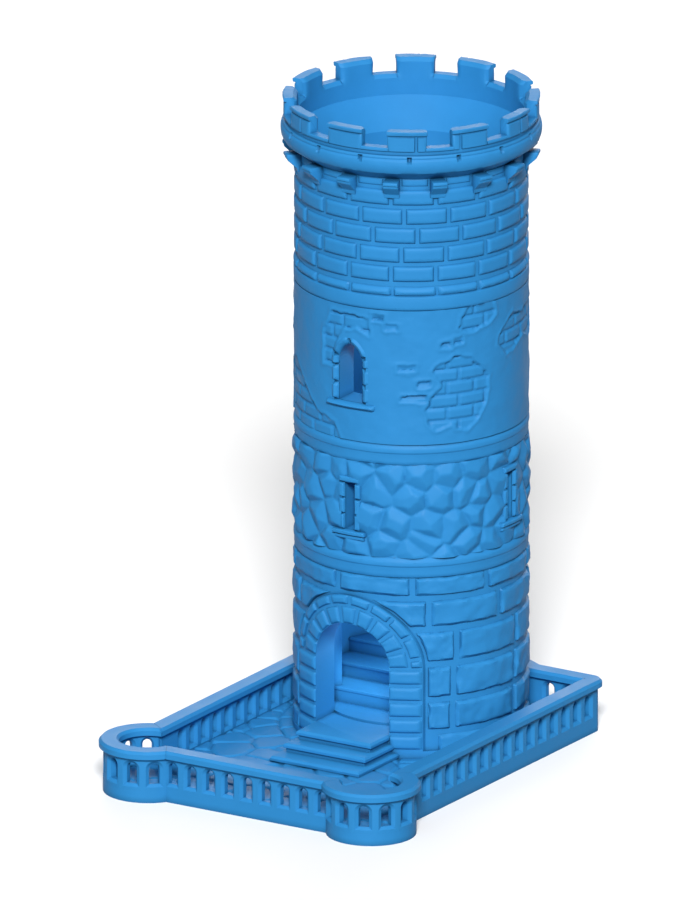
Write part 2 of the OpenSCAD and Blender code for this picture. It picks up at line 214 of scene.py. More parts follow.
def join(*solids):
    """Several (points, faces) made one."""
    points, faces, start = [], [], 0
    for verts, sets in solids:
        points.append(verts)
        faces += [f + start for f in sets]
        start += len(verts)
    return np.concatenate(points), faces


def turned(solid, bearing):
    """The same solid turned about the tower's axis."""
    verts, faces = solid
    a = math.radians(bearing)
    turn = np.array([[math.cos(a), math.sin(a), 0], [-math.sin(a), math.cos(a), 0], [0, 0, 1]])
    return verts @ turn, faces


def mirrored(solid):
    """The same solid mirrored left to right, with its faces turned back outwards."""
    verts, faces = solid
    return verts * [-1, 1, 1], [f[:, ::-1] for f in faces]


def make(p, name, solid, slot="wall_plastic", replaced=(), crease=32):
    """Puts arrays into a mesh, smooth where faces meet at less than the crease angle, gives it
    its slot's plastic, and lets the piece ride on the tower in place of the plain nodes that
    it stands for."""
    verts, faces = solid
    mesh = bpy.data.meshes.new(name)
    mesh.vertices.add(len(verts))
    mesh.vertices.foreach_set("co", (verts * MM).astype(np.float32).ravel())
    corners = np.concatenate([f.ravel() for f in faces]).astype(np.int32)
    totals = np.concatenate([np.full(len(f), f.shape[1]) for f in faces]).astype(np.int32)
    mesh.loops.add(len(corners))
    mesh.loops.foreach_set("vertex_index", corners)
    mesh.polygons.add(len(totals))
    mesh.polygons.foreach_set("loop_start", np.cumsum(totals, dtype=np.int32) - totals)
    mesh.polygons.foreach_set("loop_total", totals)
    mesh.update(calc_edges=True)
    mesh.polygons.foreach_set("use_smooth", np.ones(len(totals), bool))
    mesh.set_sharp_from_angle(angle=math.radians(crease))
    if mesh.validate():
        raise ValueError(f"{name} has broken faces")
    mesh.materials.append(plastic(slot, p))
    piece = bpy.data.objects.new(name, mesh)
    bpy.context.scene.collection.objects.link(piece)
    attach(piece, BODY)
    if replaced:
        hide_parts(*replaced)


# Blocks carved on the drum ---------------------------------------------------------------

def one_each(*sizes):
    """The sizes as columns of one length, a row for each block."""
    return [a.astype(float)[:, None, None] for a in np.broadcast_arrays(
        *[np.atleast_1d(size) for size in sizes])]


def block_steps(bevel, inner):
    """Shares of a block's width at which its grid has lines: the hidden foot, the edge, two on
    the bevel, then an even spread up to the middle and the same mirrored."""
    half = np.array([0, 0, 0.5 * bevel, bevel])
    middle = np.linspace(bevel, 1 - bevel, inner + 2)[1:-1]
    return np.concatenate([half, middle, 1 - half[::-1]])


def relief(across, along, bevel, height):
    """Height of a block's face at its distance from the nearer edges: a rounded bevel of the
    given width, height (1 - (1 - d / bevel)^2) for d less than the bevel."""
    d = np.clip(np.minimum(across, along) / bevel, 0, 1)
    return height * (1 - (1 - d) ** 2)


def sunk(r, place, hidden):
    """Blocks whose outermost ring of points is drawn back to a hidden radius."""
    r[:, [0, -1], :] = hidden
    r[:, :, [0, -1]] = hidden
    return patches(place(r))


def drum_blocks(b0, b1, z0, z1, foot, face, bevel, wear, seed, inner, clip=None):
    """Blocks on the drum between bearings b0..b1 and heights z0..z1: the foot radius at their
    edge rises over a rounded bevel to the face radius, with worn faces and wandering edges;
    clip(z) gives the half bearing of an opening that they stop at."""
    b0, b1, z0, z1 = one_each(b0, b1, z0, z1)
    tall = z1 - z0
    v = block_steps(bevel / float(np.mean(tall)), inner[1])
    u = block_steps(bevel / float(np.mean((b1 - b0) * math.pi / 180 * face)), inner[0])
    z = z0 + tall * v[None, :, None]
    start, end = b0 + 0 * z, b1 + 0 * z
    if clip is not None:
        stop = clip(z)
        right = (b0 + b1) / 2 > 0
        start = np.where(right, np.maximum(start, stop), start)
        end = np.where(right, end, np.minimum(end, -stop))
    b = start + (end - start) * u[None, None, :]
    z = z + 0 * b
    arc = (end - start) * math.pi / 180 * face
    across = np.minimum(u, 1 - u)[None, None, :] * arc
    along = np.minimum(v, 1 - v)[None, :, None] * tall
    turn = 360 * math.pi / 180 * face
    s = b * math.pi / 180 * face
    edge = wear * rough(s + 500, z, 3.0, seed + 7, turn, 2)
    r = foot + relief(across + edge * (across > 0), along + edge * (along > 0), bevel,
                      face - foot)
    r = r + wear * rough(s, z, 4.0, seed, turn) * ease(np.minimum(across, along) / bevel)
    z = z + 0.5 * edge * (along == 0)
    b = b + np.degrees(0.5 * edge / face) * (across == 0)
    return sunk(r, lambda r: cylinder(r, b, z), BACK_R)


def face_blocks(x0, x1, z0, z1, foot, face, bevel, seed, inner, hidden, wear=0.08, place=None,
                blunt=1.0):
    """Blocks of an elevation x0..x1, z0..z1 carried forward on to the drum: the same bevelled
    face as the drum's blocks, steeper at its ends when blunt is above 1; place(x, z) may bend
    the elevation first."""
    x0, x1, z0, z1 = one_each(x0, x1, z0, z1)
    wide, tall = x1 - x0, z1 - z0
    u = block_steps(bevel / float(np.mean(wide)), inner[0])[None, None, :]
    v = block_steps(bevel / float(np.mean(tall)), inner[1])[None, :, None]
    p, q = x0 + wide * u + 0 * v, z0 + tall * v + 0 * u
    across, along = np.minimum(u, 1 - u) * wide, np.minimum(v, 1 - v) * tall
    r = foot + relief(across * blunt + 0 * q, along + 0 * p, bevel, face - foot)
    r = r + wear * rough(p + 90, q + 40, 2.4, seed, None, 2) * ease(
        np.minimum(across, along) / bevel)
    x, z = (p, q) if place is None else place(p, q)
    return sunk(r, lambda r: on_drum(r, x, z), hidden)


def bar(section, places, insets, carry):
    """Bar of a closed convex section (m, 2) at places along it; each place draws the section
    in towards its centre by its inset, which rounds the ends and cuts grooves."""
    middle = (section.min(0) + section.max(0)) / 2
    half = (section.max(0) - section.min(0)) / 2
    scale = 1 - np.asarray(insets)[:, None, None] / half
    loops = middle + (section - middle) * scale
    where = np.broadcast_to(np.asarray(places)[:, None], loops.shape[:2])
    return tube(carry(where, loops[..., 0], loops[..., 1]))


def rounded(points, radius, steps=2):
    """Corners of a closed outline cut back by a radius and bridged with a quadratic curve."""
    points = np.asarray(points, float)
    radius = np.broadcast_to(radius, len(points))
    out = []
    for before, at, after, r in zip(np.roll(points, 1, 0), points, np.roll(points, -1, 0), radius):
        if r == 0:
            out.append(at)
            continue
        a = at + (before - at) * min(0.5, r / np.linalg.norm(before - at))
        b = at + (after - at) * min(0.5, r / np.linalg.norm(after - at))
        for t in np.linspace(0, 1, steps + 1):
            out.append((1 - t) ** 2 * a + 2 * t * (1 - t) * at + t**2 * b)
    return np.array(out)


def revolved(section, columns=288, wear=None):
    """Full ring of a closed section (m, 2) of radii and heights, clockwise in (r, z)."""
    bearing = np.arange(columns) * 360 / columns
    r = section[None, :, 0] + np.zeros((columns, 1))
    z = section[None, :, 1] + np.zeros((columns, 1))
    if wear is not None:
        r = r + wear(bearing[:, None], r, z)
    return tube(cylinder(r, bearing[:, None], z), closed=True)


# Stones of the ground storey ---------------------------------------------------------------

def door_bearing(margin):
    """Gives clip(z): the bearing where the doorway's surround, grown by a margin, ends."""
    half = SURROUND_HALF + margin

    def clip(z):
        up = np.clip(z - DOOR_SPRING_Z, 0, half)
        return np.degrees(np.arcsin(np.sqrt(half**2 - up**2) / WALL_R))
    return clip


def ashlar_stones(p):
    """Rough blocks in offset courses between the plinth and the lower band: each face stands
    a millimetre out of the wall behind a bevel, with noise worn into its face and edges."""
    # Bottom and top of each course and the bearing of its first joint; the first is the frieze
    courses = [
        (low("frieze_ring", 2) + 0.7, low("lower_band", 2) - 0.1, -7.5), (52.0, 60.9, 0.8),
        (39.4, 49.6, 15.3), (26.6, 37.0, 13.6), (15.0, 24.4, 13.0), (FLOOR_Z + 0.2, 12.9, 4.1)]
    solids = []
    step = 360 / p.ashlar_count
    gap = math.degrees(p.mm("ashlar_joint") / WALL_R) / 2
    least = 4
    for row, (z0, z1, first) in enumerate(courses):
        b0 = (first + step * np.arange(p.ashlar_count) + gap + 180) % 360 - 180
        b1 = b0 + step - 2 * gap
        clip = door_bearing(0.7) if row else None
        if clip:
            stop = float(clip(np.array(z0)))
            left = np.where((b0 + b1) / 2 > 0, b1 - np.maximum(b0, stop),
                            np.minimum(b1, -stop) - b0)
            b0, b1 = b0[left > least], b1[left > least]
        solids.append(drum_blocks(b0, b1, z0, z1, WALL_R + 0.05, WALL_R + p.mm("ashlar_proud"),
                                  p.mm("ashlar_bevel"), wear=0.3, seed=11 + row, inner=(22, 8),
                                  clip=clip))
    return join(*solids)


def doorway_stones(p):
    """Surround of the doorway: wedge stones in a ring about the arch's centre, a thin outer
    ring whose joints are offset from them, and a stack of jamb blocks as wide as both rings."""
    across = dict(foot=SURROUND_R + 0.02, face=SURROUND_R + p.mm("door_stone_proud"),
                  hidden=SURROUND_R - 0.3)
    split = DOOR_HALF + p.mm("door_ring_w")
    reveal, outside = DOOR_HALF + 0.15, SURROUND_HALF - 0.1
    rings = [(reveal, split - 0.5, np.linspace(0, 180, 10)),
             (split + 0.5, outside, np.concatenate([[0], np.arange(11.0, 180, 20.0), [180]]))]
    joint = 1.3
    solids = []
    for part, (in0, in1, edges) in enumerate(rings):
        along = edges * math.pi / 180 * in0
        gap = joint * in0 / ((in0 + in1) / 2) / 2

        def bend(s, rho, in0=in0):
            angle = s / in0
            return -rho * np.cos(angle), DOOR_SPRING_Z + rho * np.sin(angle)
        solids.append(face_blocks(along[:-1] + gap, along[1:] - gap, in0, in1, bevel=0.8,
                                  wear=0.06, seed=31 + part, inner=(6, 2), place=bend, **across))
    z = np.linspace(FLOOR_Z + 3.3, DOOR_SPRING_Z, 6)
    left, right = (face_blocks(reveal, outside, z[:-1] + 0.55, z[1:] - 0.55, bevel=0.9, wear=0.08,
                               seed=seed, inner=(6, 3), **across) for seed in (41, 43))
    return join(*solids, left, mirrored(right))


def band_profile(z0, z1):
    """Section of a string course: a plain face under a stepped, rounded top edge."""
    top = z1 - z0
    return rounded([
        (INNER_R, z0), (INNER_R, z1), (WALL_R + 0.1, z1), (BAND_R, z1 - 0.2 * top),
        (BAND_R + 0.05, z1 - 0.42 * top), (BAND_R - 0.25, z1 - 0.46 * top),
        (BAND_R - 0.2, z0 + 0.14 * top), (BAND_R - 0.6, z0)],
        [0, 0, 0.2, 0.5, 0.25, 0.2, 0.5, 0.2])


def string_courses():
    """Three rings round the tower, each a section turned about the axis, slightly worn, and a
    course of thin stones on the upper one."""
    def wear(bearing, r, z):
        return np.where(r > WALL_R, 0.06 * rough(bearing * 0.7, z * 2, 5.0, 71, 252, 2), 0)
    z0, z1 = low("upper_band", 2), high("upper_band", 2)
    upper = rounded([
        (INNER_R, z0), (INNER_R, z1), (WALL_R + 0.1, z1), (WALL_R + 0.1, z1 - 3.1),
        (BAND_R, z1 - 3.6), (BAND_R, z0 + 0.8), (BAND_R - 0.45, z0)],
        [0, 0, 0, 0, 0.4, 0.4, 0.2])
    lower, middle = (band_profile(low(name, 2), high(name, 2))
                     for name in ("lower_band", "middle_band"))
    b0 = SIXTEEN * SIXTEENTH + 0.65
    stones = drum_blocks(b0, b0 + SIXTEENTH - 1.3, z1 - 3.4, z1 - 0.25, WALL_R + 0.15,
                         BAND_R + 0.1, 1.4, wear=0.08, seed=76, inner=(10, 2))
    return join(*[revolved(section, wear=wear) for section in (lower, middle, upper)], stones)


# Rubble storey -----------------------------------------------------------------------------

def rubble_height(s, z, turn, cell, seed):
    """Relief of rubble from 0 to 1: each point takes the stone whose seed is nearest; from the
    line halfway to every neighbouring seed a facet rises at its own random slope, and the
    lowest facet wins, up to the stone's own slightly leaning top."""
    rng = np.random.default_rng(seed)
    squat, stray_x, stray_z = 0.86, 0.36, 0.33
    storey = z.max() - z.min()
    columns, rows = round(turn / cell), max(2, round(storey / (cell * squat)))
    gx, gy = np.meshgrid(np.arange(columns), np.arange(-1, rows + 1))
    sx = ((gx + 0.5 * (gy % 2) + rng.uniform(-stray_x, stray_x, gx.shape)) * turn
          / columns).ravel()
    sz = (z.min() + (gy + 0.5 + rng.uniform(-stray_z, stray_z, gx.shape)) * storey
          / rows).ravel()
    dx = (s.reshape(-1, 1) - sx + turn / 2) % turn - turn / 2
    dz = z.reshape(-1, 1) - sz
    far = dx**2 + dz**2
    neighbours = 8
    order = np.argpartition(far, neighbours - 1, axis=1)[:, :neighbours]
    near = np.take_along_axis(far, order, 1)
    first = near.argmin(1)[:, None]
    own = np.take_along_axis(order, first, 1)
    mine = near.min(1)[:, None]
    px, pz = np.take_along_axis(dx, own, 1), np.take_along_axis(dz, own, 1)
    apart = np.hypot(np.take_along_axis(dx, order, 1) - px, np.take_along_axis(dz, order, 1) - pz)
    edge = np.where(apart > 0.01, (near - mine) / (2 * np.maximum(apart, 0.01)), 99.0)
    slope = rng.uniform(0.15, 0.52, (len(sx), len(sx)))[own, order]
    angle, lean = rng.uniform(0, 2 * math.pi, len(sx)), rng.uniform(0.02, 0.07, len(sx))
    tall = rng.uniform(0.84, 1.0, len(sx))
    own, px, pz = own[:, 0], px[:, 0], pz[:, 0]
    top = tall[own] - lean[own] * (px * np.cos(angle[own]) + pz * np.sin(angle[own]))
    joint, joint_w = 0.12, 0.45
    crease = joint * np.exp(-edge.min(1) / joint_w)
    facets = (1 - joint) * np.minimum(top, (slope * edge).min(1))
    return (joint - crease + facets).reshape(s.shape)


def grid_on_drum(z0, z1, pitch):
    """Bearings and heights of an even grid round the drum, and the length of its turn."""
    turn = 2 * math.pi * (WALL_R + 0.6)
    columns = round(turn / pitch)
    rows = round((z1 - z0) / pitch) + 1
    b, z = np.meshgrid(np.arange(columns) * 360 / columns, np.linspace(z0, z1, rows))
    return b, z, turn


def offset_from(b, centre):
    """Signed bearing from a centre, between -180 and 180."""
    return (b - centre + 180) % 360 - 180


def sheet_on_drum(b, z, r, hole):
    """Closed sheet on the drum with the cells of a hole left out: its relief in front and the
    wall's hidden radius behind."""
    wide = hole | np.roll(hole, -1, 1)
    keep = ~(wide[:-1] | wide[1:])
    return shell(cylinder(r, b, z), cylinder(BACK_R, b, z), keep, wrap=True)


def rubble_stones(p):
    """Fieldstones with chiselled facets between the lower and middle bands, as one sheet with
    holes behind the slit windows."""
    z0, z1 = high("lower_band", 2), low("middle_band", 2)
    b, z, turn = grid_on_drum(z0 - 0.1, z1 + 0.1, 0.5)
    s = b * turn / 360
    warp_s = s + 0.35 * rough(s, z, 6, 81, turn, 2)
    warp_z = z + 0.35 * rough(s + 33, z, 6, 83, turn, 2)
    h = rubble_height(warp_s, warp_z, turn, p.mm("rubble_size"), 85)
    h = np.clip(h, 0, 1)
    soft = (np.roll(h, 1, 1) + np.roll(h, -1, 1) + 2 * h) / 4
    soft[1:-1] = (soft[2:] + soft[:-2] + 2 * soft[1:-1]) / 4
    h = 0.75 * h + 0.25 * soft
    r = WALL_R + 0.02 + p.mm("rubble_proud") * h + 0.05 * rough(s, z, 2.2, 87, turn, 2)
    x = np.stack([(WALL_R + 0.5) * np.radians(offset_from(b, at)) for at in SLIT_BEARINGS])
    hole = (np.abs(x).min(0) < 2.6) & (z > SLIT_Z - 1) & (z < SLIT_TOP_Z - 1.2)
    return sheet_on_drum(b, z, r, hole)


def slit_stones():
    """Four slit windows: three rounded jamb blocks on each side, a lintel and a sill slab."""
    hidden = WALL_R - 0.2
    outer = SLIT_HALF + 2.3
    z = np.linspace(SLIT_Z, SLIT_TOP_Z - 2.2, 4)
    jambs = face_blocks(SLIT_HALF, outer, z[:-1] + 0.15, z[1:] - 0.15, WALL_R + 0.5,
                        WALL_R + 1.4, 0.6, inner=(2, 4), hidden=hidden, seed=101)
    lintel = face_blocks(-outer, outer, SLIT_TOP_Z - 2.25, SLIT_TOP_Z + 0.1, WALL_R + 0.5,
                         WALL_R + 1.5, 0.7, inner=(8, 2), hidden=hidden, seed=102)
    sill = face_blocks(-SLIT_SILL_HALF, SLIT_SILL_HALF, SLIT_Z - 1.5, SLIT_Z, WALL_R + 1.9,
                       WALL_R + 2.4, 0.35, inner=(12, 2), hidden=hidden, seed=103, wear=0.03)
    under = face_blocks(-SLIT_SILL_HALF + 0.5, SLIT_SILL_HALF - 0.5, SLIT_Z - 3.2, SLIT_Z - 1.4,
                        WALL_R + 0.9, WALL_R + 1.7, 0.5, inner=(12, 2), hidden=hidden, seed=104,
                        wear=0.03)
    window = join(jambs, lintel, sill, under, mirrored(jambs))
    return join(*[turned(window, bearing) for bearing in SLIT_BEARINGS])


# Plaster storey ----------------------------------------------------------------------------

# Edges of the patches where plaster has fallen: bearing and height of each corner
BARE_PATCHES = [
    [(53.5, 148.2), (44.1, 145), (42.9, 143.5), (47.1, 138.8), (42.5, 134.3), (38.8, 129),
     (40.8, 125.4), (44.1, 122.6), (52.6, 124.7), (54.4, 122.5), (60.7, 121.3), (65.5, 124.6),
     (70, 129.3), (73.7, 139.5), (70.5, 141.2), (65.5, 144.9), (62.6, 147)],
    [(56, 158.5), (61, 156.8), (70, 157.6), (78, 160.5), (77, 166), (60, 166)],
    [(79, 150), (86, 145), (96, 147.2), (107, 151.5), (104, 157), (92, 158.3), (84, 155)],
    [(25.3, 143.7), (34.3, 143.9), (34.0, 146.1), (25.6, 145.9)],
    [(35.5, 138.3), (41.3, 138.4), (41.0, 140.2), (35.8, 140.1)],
    [(26.5, 132.9), (39.0, 133.1), (38.6, 134.9), (27.0, 134.8)],
    [(12.8, 161.5), (18.0, 161.6), (17.8, 163.6), (13.0, 163.4)],
    [(19.8, 158.5), (25.0, 158.6), (24.8, 160.4), (20.0, 160.3)],
    [(46.3, 151.8), (51.4, 151.9), (51.1, 153.7), (46.6, 153.6)],
    [(53.4, 153.0), (58.1, 153.1), (57.8, 154.9), (53.7, 154.8)],
    [(-16, 143), (-9.5, 143), (-9, 151), (-3, 157.5), (4, 158.5), (11, 156), (10, 161.5),
     (2, 163), (-10, 162.4), (-15.5, 156)],
    [(-61, 117), (-5, 117), (-9, 122.5), (-22, 125.2), (-30, 131), (-44, 139.8), (-56, 136),
     (-63, 127)],
    [(-80, 150), (-66, 146), (-55, 149), (-52, 156), (-63, 160), (-77, 158)],
]


def distance_to(outline, s, z):
    """Signed distance of points to a closed outline: the least distance to its sides, negative
    where a line to one side crosses it an odd number of times."""
    a = np.asarray(outline, float)
    b = np.roll(a, -1, 0)
    x, y = s[..., None], z[..., None]
    dx, dy = b[:, 0] - a[:, 0], b[:, 1] - a[:, 1]
    t = np.clip(((x - a[:, 0]) * dx + (y - a[:, 1]) * dy) / (dx**2 + dy**2), 0, 1)
    gap = np.hypot(x - a[:, 0] - t * dx, y - a[:, 1] - t * dy).min(-1)
    rises = (a[:, 1] > y) != (b[:, 1] > y)
    at = a[:, 0] + (y - a[:, 1]) * dx / np.where(dy == 0, 1e-9, dy)
    inside = (rises & (x < at)).sum(-1) % 2 == 1
    return np.where(inside, -gap, gap)


def brick_relief(b, z):
    """0 in the joints and 1 on the faces of running bricks; every other course is shifted."""
    pitch, span, level = 4.57, 15.0, 116.46
    even_joint, odd_joint = 49.8, 56.1
    course = np.floor((z - level) / pitch)
    up = (z - level) - course * pitch
    along = np.mod(b - np.where(course % 2 == 0, even_joint, odd_joint), span)
    arc = math.radians(1) * WALL_R
    near = np.minimum(np.minimum(up, pitch - up), np.minimum(along, span - along) * arc)
    return ease((near - 0.25) / 0.5)


def window_reach(x, z):
    """How far a point of the elevation is outside the pointed window's opening: past its sides
    below the spring, or past the two arcs that cross at its apex above it."""
    arcs = np.hypot(np.abs(x) + WINDOW_REACH - WINDOW_HALF, z - WINDOW_SPRING_Z) - WINDOW_REACH
    return np.where(z > WINDOW_SPRING_Z, arcs, np.abs(x) - WINDOW_HALF)


def plaster_and_bricks(p):
    """Wavy plaster with a raised lip round each fallen patch, where running bricks show: the
    signed distance to the patches, roughened by noise, picks between the two surfaces."""
    z0, z1 = high("middle_band", 2), low("upper_band", 2)
    b, z, turn = grid_on_drum(z0 - 0.1, z1 + 0.1, 0.53)
    s = b * turn / 360
    arc = turn / 360
    gap = np.full(b.shape, 99.0)
    reach, middle = 3, 20
    for bearing in WINDOW_BEARINGS:
        local = (offset_from(b, bearing + middle) + middle) * arc
        for outline in BARE_PATCHES:
            points = np.array(outline) * [arc, 1]
            (left, bottom), (right, top) = points.min(0) - reach, points.max(0) + reach
            near = (local > left) & (local < right) & (z > bottom) & (z < top)
            found = distance_to(points, local[near], z[near])
            gap[near] = np.minimum(gap[near], found)
    gap = gap + 0.55 * rough(s, z, 3.2, 121, turn, 3) + 0.15
    cover = ease((gap + 0.05) / 0.42)
    lip = p.mm("plaster_lip") * np.exp(-((gap - 0.9) / 0.55) ** 2)
    wave = 0.13 * rough(s, z, 8.0, 125, turn, 3) + 0.035 * rough(s, z, 1.8, 127, turn, 1)
    coat = WALL_R + p.mm("plaster_proud") + wave + lip
    brick = WALL_R + 0.03 + 0.6 * brick_relief(b, z) + 0.04 * rough(s, z, 1.6, 129, turn, 2)
    r = brick * (1 - cover) + coat * cover
    x = np.stack([(WALL_R + 0.5) * np.radians(offset_from(b, at)) for at in WINDOW_BEARINGS])
    hole = (window_reach(x, z[None]).min(0) < 1.5) & (z > WINDOW_Z - 1.0)
    return sheet_on_drum(b, z, r, hole)


def window_stones():
    """Pointed windows: a half-round moulding bent up each side and over to the apex, cut into
    stones, on a half-round sill bar; the same behind."""
    wide = 3.2
    side = WINDOW_SPRING_Z - WINDOW_Z
    middle = WINDOW_REACH + wide / 2
    centre = WINDOW_REACH - WINDOW_HALF
    arc = middle * math.acos(centre / middle)

    def bend(along, q):
        across = wide - q
        end = np.arccos(centre / (WINDOW_REACH + across))
        share = np.clip((along - side) / arc, 0, 1)
        x_arc = (WINDOW_REACH + across) * np.cos(end * share) - centre
        z_arc = WINDOW_SPRING_Z + (WINDOW_REACH + across) * np.sin(end * share)
        upright = along < side
        return (np.where(upright, WINDOW_HALF + across, x_arc),
                np.where(upright, WINDOW_Z + along, z_arc))

    cuts = np.array([0, 6.4, 12.6, side + 2.4, side + arc])
    stones = face_blocks(cuts[:-1] + 0.22, cuts[1:] - np.array([0.22, 0.22, 0.22, 0.12]), 0, wide,
                         WALL_R + 0.25, WALL_R + 1.5, 1.6, wear=0.03, seed=141, inner=(8, 2),
                         hidden=WALL_R - 0.2, place=bend, blunt=3.0)
    sill = face_blocks(-WINDOW_SILL_HALF, WINDOW_SILL_HALF, WINDOW_Z - 2.2, WINDOW_Z,
                       WALL_R + 0.8, WALL_R + 2.4, 1.1, wear=0.03, seed=145, inner=(14, 1),
                       hidden=WALL_R - 0.2)
    window = join(stones, mirrored(stones), sill)
    return join(*[turned(window, bearing) for bearing in WINDOW_BEARINGS])


# Brick storey and crown --------------------------------------------------------------------

def brick_courses(p):
    """Five courses of smooth rounded bricks and the short panels between the corbels."""
    pitch, joint = p.mm("brick_pitch"), p.mm("brick_joint")
    gap = math.degrees(joint / WALL_R) / 2
    z0 = high("upper_band", 2) + 1.1
    solids = []
    for row, first in enumerate((-0.7, 4.5, 12.5, 5.9, 21.7)):
        bottom = z0 + row * pitch
        b0 = first + SIXTEENTH * SIXTEEN + gap
        solids.append(drum_blocks(b0, b0 + SIXTEENTH - 2 * gap, bottom + joint / 2,
                                  bottom + pitch - joint / 2, WALL_R + 0.04,
                                  WALL_R + p.mm("brick_proud"), 0.95, wear=0.05, seed=151 + row,
                                  inner=(12, 3)))
    inset = 4.7
    b0 = SIXTEENTH * SIXTEEN + inset
    solids.append(drum_blocks(b0, b0 + SIXTEENTH - 2 * inset, z0 + 5 * pitch + joint / 2,
                              low("crown_ring", 2) + 0.1, WALL_R + 0.04, WALL_R + 0.35, 0.5,
                              wear=0.03, seed=158, inner=(8, 2)))
    return join(*solids)


def corbel_stones(p):
    """Sixteen corbels: a foot block, a slope out at the steepness of the wall below it and a
    two-step slab, as one section swept across the corbel's width."""
    top, bottom, out = high("corbels", 2), low("corbels", 2), -low("corbels", 1)
    half = p.mm("corbel_width") / 2
    section = rounded([
        (BACK_R, bottom - 0.4), (BACK_R, top), (out, top), (out, top - 1.2),
        (out - 0.5, top - 1.3), (out - 0.5, top - 2.2), (WALL_R + 1.3, bottom + 1.2),
        (WALL_R + 1.1, bottom - 0.2), (WALL_R + 0.6, bottom - 0.4)],
        [0, 0, 0.45, 0.3, 0.1, 0.3, 0.3, 0.3, 0.2])
    corbel = bar(section, [-half, -half + 0.12, -half + 0.45, half - 0.45, half - 0.12, half],
                 [0.38, 0.12, 0, 0, 0.12, 0.38], lambda x, r, z: np.stack([x, -r, z], -1))
    return join(*[turned(corbel, bearing) for bearing in SIXTEEN * SIXTEENTH])


def crown_moulding():
    """Flared soffit and half-round moulding under the parapet, a section turned about the axis
    with sixteen short notches cut into its upper part."""
    z0, z1 = low("crown_ring", 2), high("crown_ring", 2)
    parapet = high("parapet_wall", 0)
    bulge = high("crown_ring", 0) - parapet
    flare = z0 + 3.2
    half = (z1 - flare) / 2
    radius = (half**2 + bulge**2) / (2 * bulge)
    z = np.concatenate([np.linspace(z1 - 0.15, z1 - 2.1, 8),
                        np.linspace(z1 - 2.8, flare + 0.15, 7)])
    arc = parapet + bulge - radius + np.sqrt(radius**2 - (z - flare - half) ** 2)
    section = np.array([(WALL_R, z0), (WALL_R, z1), (parapet - 0.5, z1)]
                       + list(zip(arc, z)) + [(parapet - 0.35, flare - 0.1)])

    def wear(bearing, r, z):
        outside = r > WALL_R + 1
        from_notch = np.abs(offset_from(bearing * 16, 8.5 * 16)) / 16
        groove = np.clip(1 - np.abs(z - z1 + 1.35) / 0.5, 0, 1) * outside
        notched = (from_notch < 0.8) & (np.abs(z - z1 + 1.45) < 0.75) & outside
        return (-0.4 * groove - 1.3 * notched
                + 0.05 * rough(bearing * 0.77, z, 3.0, 161, 277.2, 2) * outside)
    return revolved(section, columns=480, wear=wear)


def parapet_stones(p):
    """Twelve merlons and the sills between them, each a section swept round the drum: a groove
    under the stones, chamfered inner edges, a proud cap slab and one upright joint."""
    z0, sill, top = low("parapet_wall", 2), high("parapet_wall", 2), high("merlons", 2)
    inner, outer = WALL_R, high("parapet_wall", 0)
    half = math.degrees(p.merlon_angle) / 2
    chamfer = 1.25
    groove = [(outer, z0 + 1.5), (outer - 0.7, z0 + 1.2), (outer - 0.7, z0)]
    between = np.array([(inner, z0), (inner, sill - chamfer), (inner + chamfer, sill),
                        (outer - 0.35, sill), (outer, sill - 0.35)] + groove)
    merlon = np.array([
        (inner, z0), (inner, sill - 0.5), (inner, sill + 0.3), (inner, top - chamfer - 0.1),
        (inner + chamfer, top), (outer - 0.1, top), (outer + 0.25, top - 0.3),
        (outer + 0.22, top - 1.2), (outer - 0.1, top - 1.4), (outer - 0.65, top - 1.5),
        (outer - 0.65, top - 1.8), (outer - 0.05, top - 2.3), (outer, sill + 0.2)] + groove)

    def on_ring(b, r, z, joint_at):
        edge = (half - np.abs(b)) * math.radians(1) * outer
        cut = np.clip(chamfer - edge, 0, chamfer) * (z > sill - 0.2) * (r < inner + 2)
        stone = (r > outer - 0.3) * (z < top - 1.4)
        joint = 0.7 * (np.abs(b - joint_at) < 0.55) * stone
        joint = joint + np.clip(0.6 - edge, 0, 0.6) * stone
        cap = (z > top - 1.3) * (r > inner + 2)
        chip = 0.16 * rough(b * 3, z * 2 + r, 2.0, 171, None, 2) * cap
        wide = np.where(z > top - 1.45, 1.03, 1.0)
        return cylinder(r + cut - joint + chip, b * wide, z + 0.5 * chip)

    solids = []
    step = 30
    gap = step - 2 * half
    none = 99
    joints = (none, 4.2, -5.2, 1.0, -3.6, none, 4.8, -1.5, 3.4, none, -4.4, 2.2)
    side = np.array([0.15, 0.45, 0.75, 0.87, 0.94, 0.985, 1])
    for k, joint_at in enumerate(joints):
        places = np.concatenate([-side[::-1], side]) * half
        if joint_at < half:
            near = joint_at + np.array([-0.9, -0.5, 0, 0.5, 0.9])
            places = np.sort(np.concatenate([places[np.abs(places - joint_at) > 1], near]))
        insets = np.zeros(len(places))
        insets[[0, -1]] = 0.18
        stone = bar(merlon, places, insets, lambda b, r, z, at=joint_at: on_ring(b, r, z, at))
        sill_stone = bar(between, half - 0.4 + np.linspace(0, gap + 0.8, 6), np.zeros(6),
                         lambda b, r, z: cylinder(r, b, z))
        solids += [turned(stone, step * k), turned(sill_stone, step * k)]
    return join(*solids)


# Tray --------------------------------------------------------------------------------------

def plan():
    """Named lengths of the tray's plan, from its walls and rails."""
    side, side_x = high("tray_floor", 0), high("right_balustrade", 0)
    join_x, join_y = high("front_balustrade", 0), low("right_balustrade", 1)
    front = low("front_balustrade", 1)
    bastion_r = fit_bastion(side, side_x, join_x, front, join_y)
    return SimpleNamespace(
        side=side_x, rear=high("rear_balustrades", 1), apse=high("tray_floor", 1), front=front,
        join_x=join_x, join_y=join_y, bastion_r=bastion_r, bastion_x=side - bastion_r,
        bastion_y=low("tray_floor", 1) + bastion_r)


